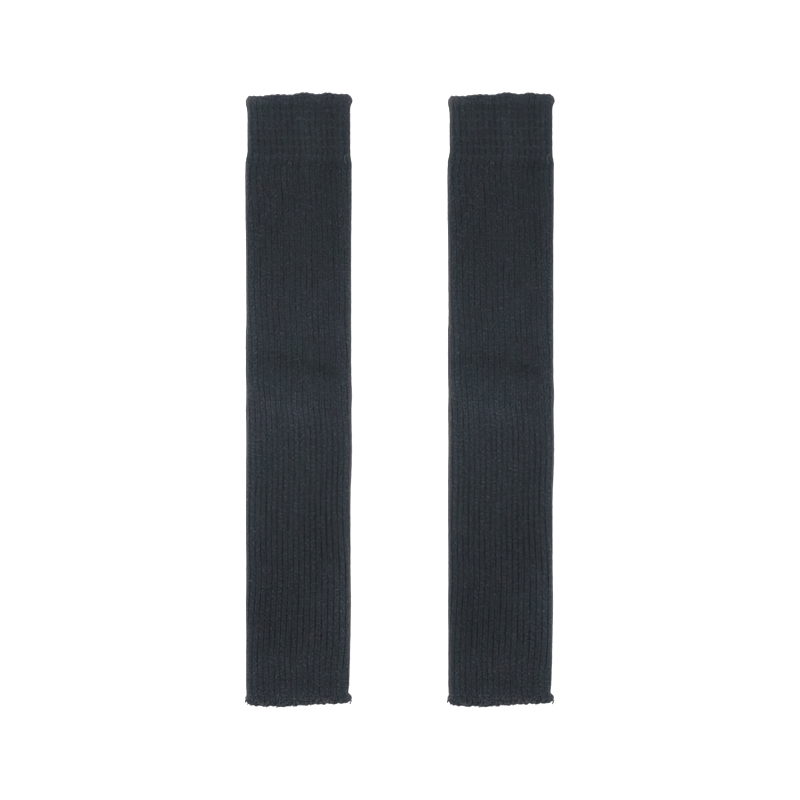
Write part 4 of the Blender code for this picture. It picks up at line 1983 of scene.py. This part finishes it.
@dataclass
class Warmer:
    """One leg warmer: its cuff, its leg in two stretches, its hem and its loose fibres.

    Attributes:
        side: Which warmer it is.
        form: The tube's shape.
        fibre_density: How many fibres there are to a square metre where the nap is fullest.
        fibre_length: A fibre's usual length.
        fibre_radius: A fibre's radius.
        fibre_lean: How far a fibre may lean from upright, in radians.
    """

    side: Side
    form: TubeForm
    fibre_density: float = 820000.0
    fibre_length: float = 2.2 * MM
    fibre_radius: float = 0.03 * MM
    fibre_lean: float = 1.1

    def pieces(self) -> dict[Stretch, KnitPiece]:
        """The warmer's knitted stretches, from the top down.

        Returns:
            Each stretch's piece, not yet built.
        """
        girth = 2.0 * LAID_WIDTH
        middle = CUFF_SEAM_MM - UPPER_LEG_COURSES * COURSE_MM
        cuff = Cuff(
            self.side, self.form, Stretch.CUFF, TOP_LEVEL_MM, CUFF_SEAM_MM, (girth, CUFF_CUT),
            wall_mm=CUFF_WALL_MM,
            stitch_height=0.30 * MM,
            upper_end=FreeEnd(TOP_EDGE, TOP_LEVEL_MM, 1, CUFF_FLARE, LIP_GLOW),
            inner_step_mm=8.0,
        )
        upper_leg = KnitPiece(
            self.side, self.form, Stretch.UPPER_LEG, CUFF_SEAM_MM, middle,
            (girth, (CUFF_SEAM_MM - middle) * MM),
        )
        lower_leg = KnitPiece(
            self.side, self.form, Stretch.LOWER_LEG, middle, HEM_SEAM_MM,
            (girth, (middle - HEM_SEAM_MM) * MM),
        )
        hem = Hem(
            self.side, self.form, Stretch.HEM, HEM_SEAM_MM, BOTTOM_LEVEL_MM, (girth, HEM_CUT),
            lower_end=FreeEnd(BOTTOM_EDGE, BOTTOM_LEVEL_MM, -1, HEM_FLARE),
            inner_step_mm=3.0,
        )
        return {piece.stretch: piece for piece in (cuff, upper_leg, lower_leg, hem)}

    def build_fibres(
        self, skins: Sequence[bpy.types.Object], tree: GeometryGraph, material: bpy.types.Material
    ) -> bpy.types.Object:
        """Makes the loose fibres that stand off the warmer's skins.

        Args:
            skins: The warmer's knitted pieces.
            tree: The tree that scatters fibres.
            material: The fibres' finish.

        Returns:
            The finished fibres, in one piece.
        """
        carriers = [link_object("fibre_carrier", skin.data.copy()) for skin in skins]
        with bpy.context.temp_override(
            active_object=carriers[0], selected_editable_objects=carriers
        ):
            bpy.ops.object.join()
        values = {
            "Density": self.fibre_density,
            "Fibre Length": self.fibre_length,
            "Fibre Radius": self.fibre_radius,
            "Lean": self.fibre_lean,
            "Seed": 11 + self.side.value,
            "Material": material,
        }
        piece = tree.run(carriers[0], values, f"{self.side.label}_fibres")
        return fixed(piece, Stretch.UPPER_LEG.slot)


# ---------------------------------------------------------------------------------------------
# The studio
# ---------------------------------------------------------------------------------------------


@dataclass(frozen=True)
class Studio:
    """A pale floor, soft light from above and a camera that looks straight down.

    Attributes:
        view_width: How wide a strip of the cloth the camera sees.
        lens_mm: The camera's focal length.
        sensor_mm: The width of its sensor.
        cloth_level: The height that view_width is measured at.
        look_at: The X and Y that the camera is above.
        floor_size: How long the floor's sides are.
        floor_level: The floor's height.
        sky_strength: How bright the even light from all round is.
    """

    view_width: float = 0.78125
    lens_mm: float = 85.0
    sensor_mm: float = 36.0
    cloth_level: float = 0.003
    look_at: tuple[float, float] = (0.0, -0.0007)
    floor_size: float = 24.0
    floor_level: float = -0.0002
    sky_strength: float = 0.55

    def build(self) -> None:
        """Makes the floor, the lights and the camera."""
        self.build_floor()
        self.build_light("overhead", (0.0, 0.2, 3.0), size=3.0, power=75.0)
        self.build_light("key", (-1.9, 1.0, 1.5), size=0.9, power=38.0)
        world = bpy.data.worlds.new("studio")
        world.use_nodes = True
        back = world.node_tree.nodes["Background"]
        back.inputs["Color"].default_value = (1.0, 1.0, 1.0, 1.0)
        back.inputs["Strength"].default_value = self.sky_strength
        bpy.context.scene.world = world
        bpy.context.scene.view_settings.view_transform = "Standard"
        self.build_camera()

    def build_floor(self) -> None:
        """Makes the pale floor."""
        half = self.floor_size / 2.0
        mesh = bpy.data.meshes.new("floor")
        corners = [(-half, -half), (half, -half), (half, half), (-half, half)]
        mesh.from_pydata([(x, y, self.floor_level) for x, y in corners], [], [(0, 1, 2, 3)])
        made, _, _ = principled("pale_floor", PALE_FLOOR)
        mesh.materials.append(made)
        link_object("floor", mesh)

    def build_light(
        self, name: str, place: tuple[float, float, float], size: float, power: float
    ) -> None:
        """Makes a square area light that faces the object.

        Args:
            name: The light's name.
            place: Where it is.
            size: How long its sides are.
            power: Its power in watts.
        """
        light = bpy.data.lights.new(name, "AREA")
        light.shape = "SQUARE"
        light.size = size
        light.energy = power
        made = bpy.data.objects.new(name, light)
        made.location = place
        to_object = Vector((0.0, 0.0, 0.0)) - Vector(place)
        made.rotation_euler = to_object.to_track_quat("-Z", "Y").to_euler()
        bpy.context.scene.collection.objects.link(made)

    def build_camera(self) -> None:
        """Makes the camera, straight above the pair with the cuffs at the top of the frame."""
        camera = bpy.data.cameras.new("camera")
        camera.lens = self.lens_mm
        camera.sensor_width = self.sensor_mm
        distance = self.view_width * self.lens_mm / self.sensor_mm
        made = bpy.data.objects.new("camera", camera)
        made.location = (*self.look_at, self.cloth_level + distance)
        bpy.context.scene.collection.objects.link(made)
        bpy.context.scene.camera = made


def main() -> None:
    """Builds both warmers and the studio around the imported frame."""
    logging.basicConfig(level=logging.INFO, format="%(name)s: %(message)s")
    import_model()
    relief, loops = knit_relief_tree(), loop_tree()
    threads, fibres = thread_tree(), fibre_tree()
    yarns = {
        Stretch.CUFF: YarnFinish("cuff_yarn", unevenness=0.68).material(),
        Stretch.UPPER_LEG: YarnFinish("upper_leg_yarn", unevenness=0.85).material(),
        Stretch.LOWER_LEG: YarnFinish("lower_leg_yarn", unevenness=0.88).material(),
        Stretch.HEM: YarnFinish("hem_yarn", unevenness=0.88).material(),
    }
    elastic = StrandFinish("elastic_thread", (0.017, 0.020, 0.024)).material()
    fluff = StrandFinish("loose_fibre", (0.16, 0.165, 0.17)).material()
    loose_end = StrandFinish("loose_elastic", (0.064, 0.073, 0.080)).material()
    cast_off = StrandFinish(
        "cast_off_yarn", (0.048, 0.0485, 0.055), grain=1.5, lumps=420.0
    ).material()
    form = TubeForm((SECTIONS, RIB_PATHS, SHADE_AND_TONE_BANDS), CREASES)
    for side in Side:
        warmer = Warmer(side, form)
        pieces = warmer.pieces()
        skins = {stretch: p.build(relief, yarns[stretch]) for stretch, p in pieces.items()}
        cuff, hem = pieces[Stretch.CUFF], pieces[Stretch.HEM]
        extras = {
            Stretch.CUFF: [
                cuff.build_elastic(threads, elastic),
                cuff.build_loose_end(threads, loose_end),
            ],
            Stretch.HEM: [
                hem.build_loops(kind, loops, cast_off) for kind in (HANGING_LOOPS, CAST_OFF_CHAIN)
            ],
            Stretch.UPPER_LEG: [warmer.build_fibres(list(skins.values()), fibres, fluff)],
        }
    Studio().build()


if __name__ == "__main__":
    main()
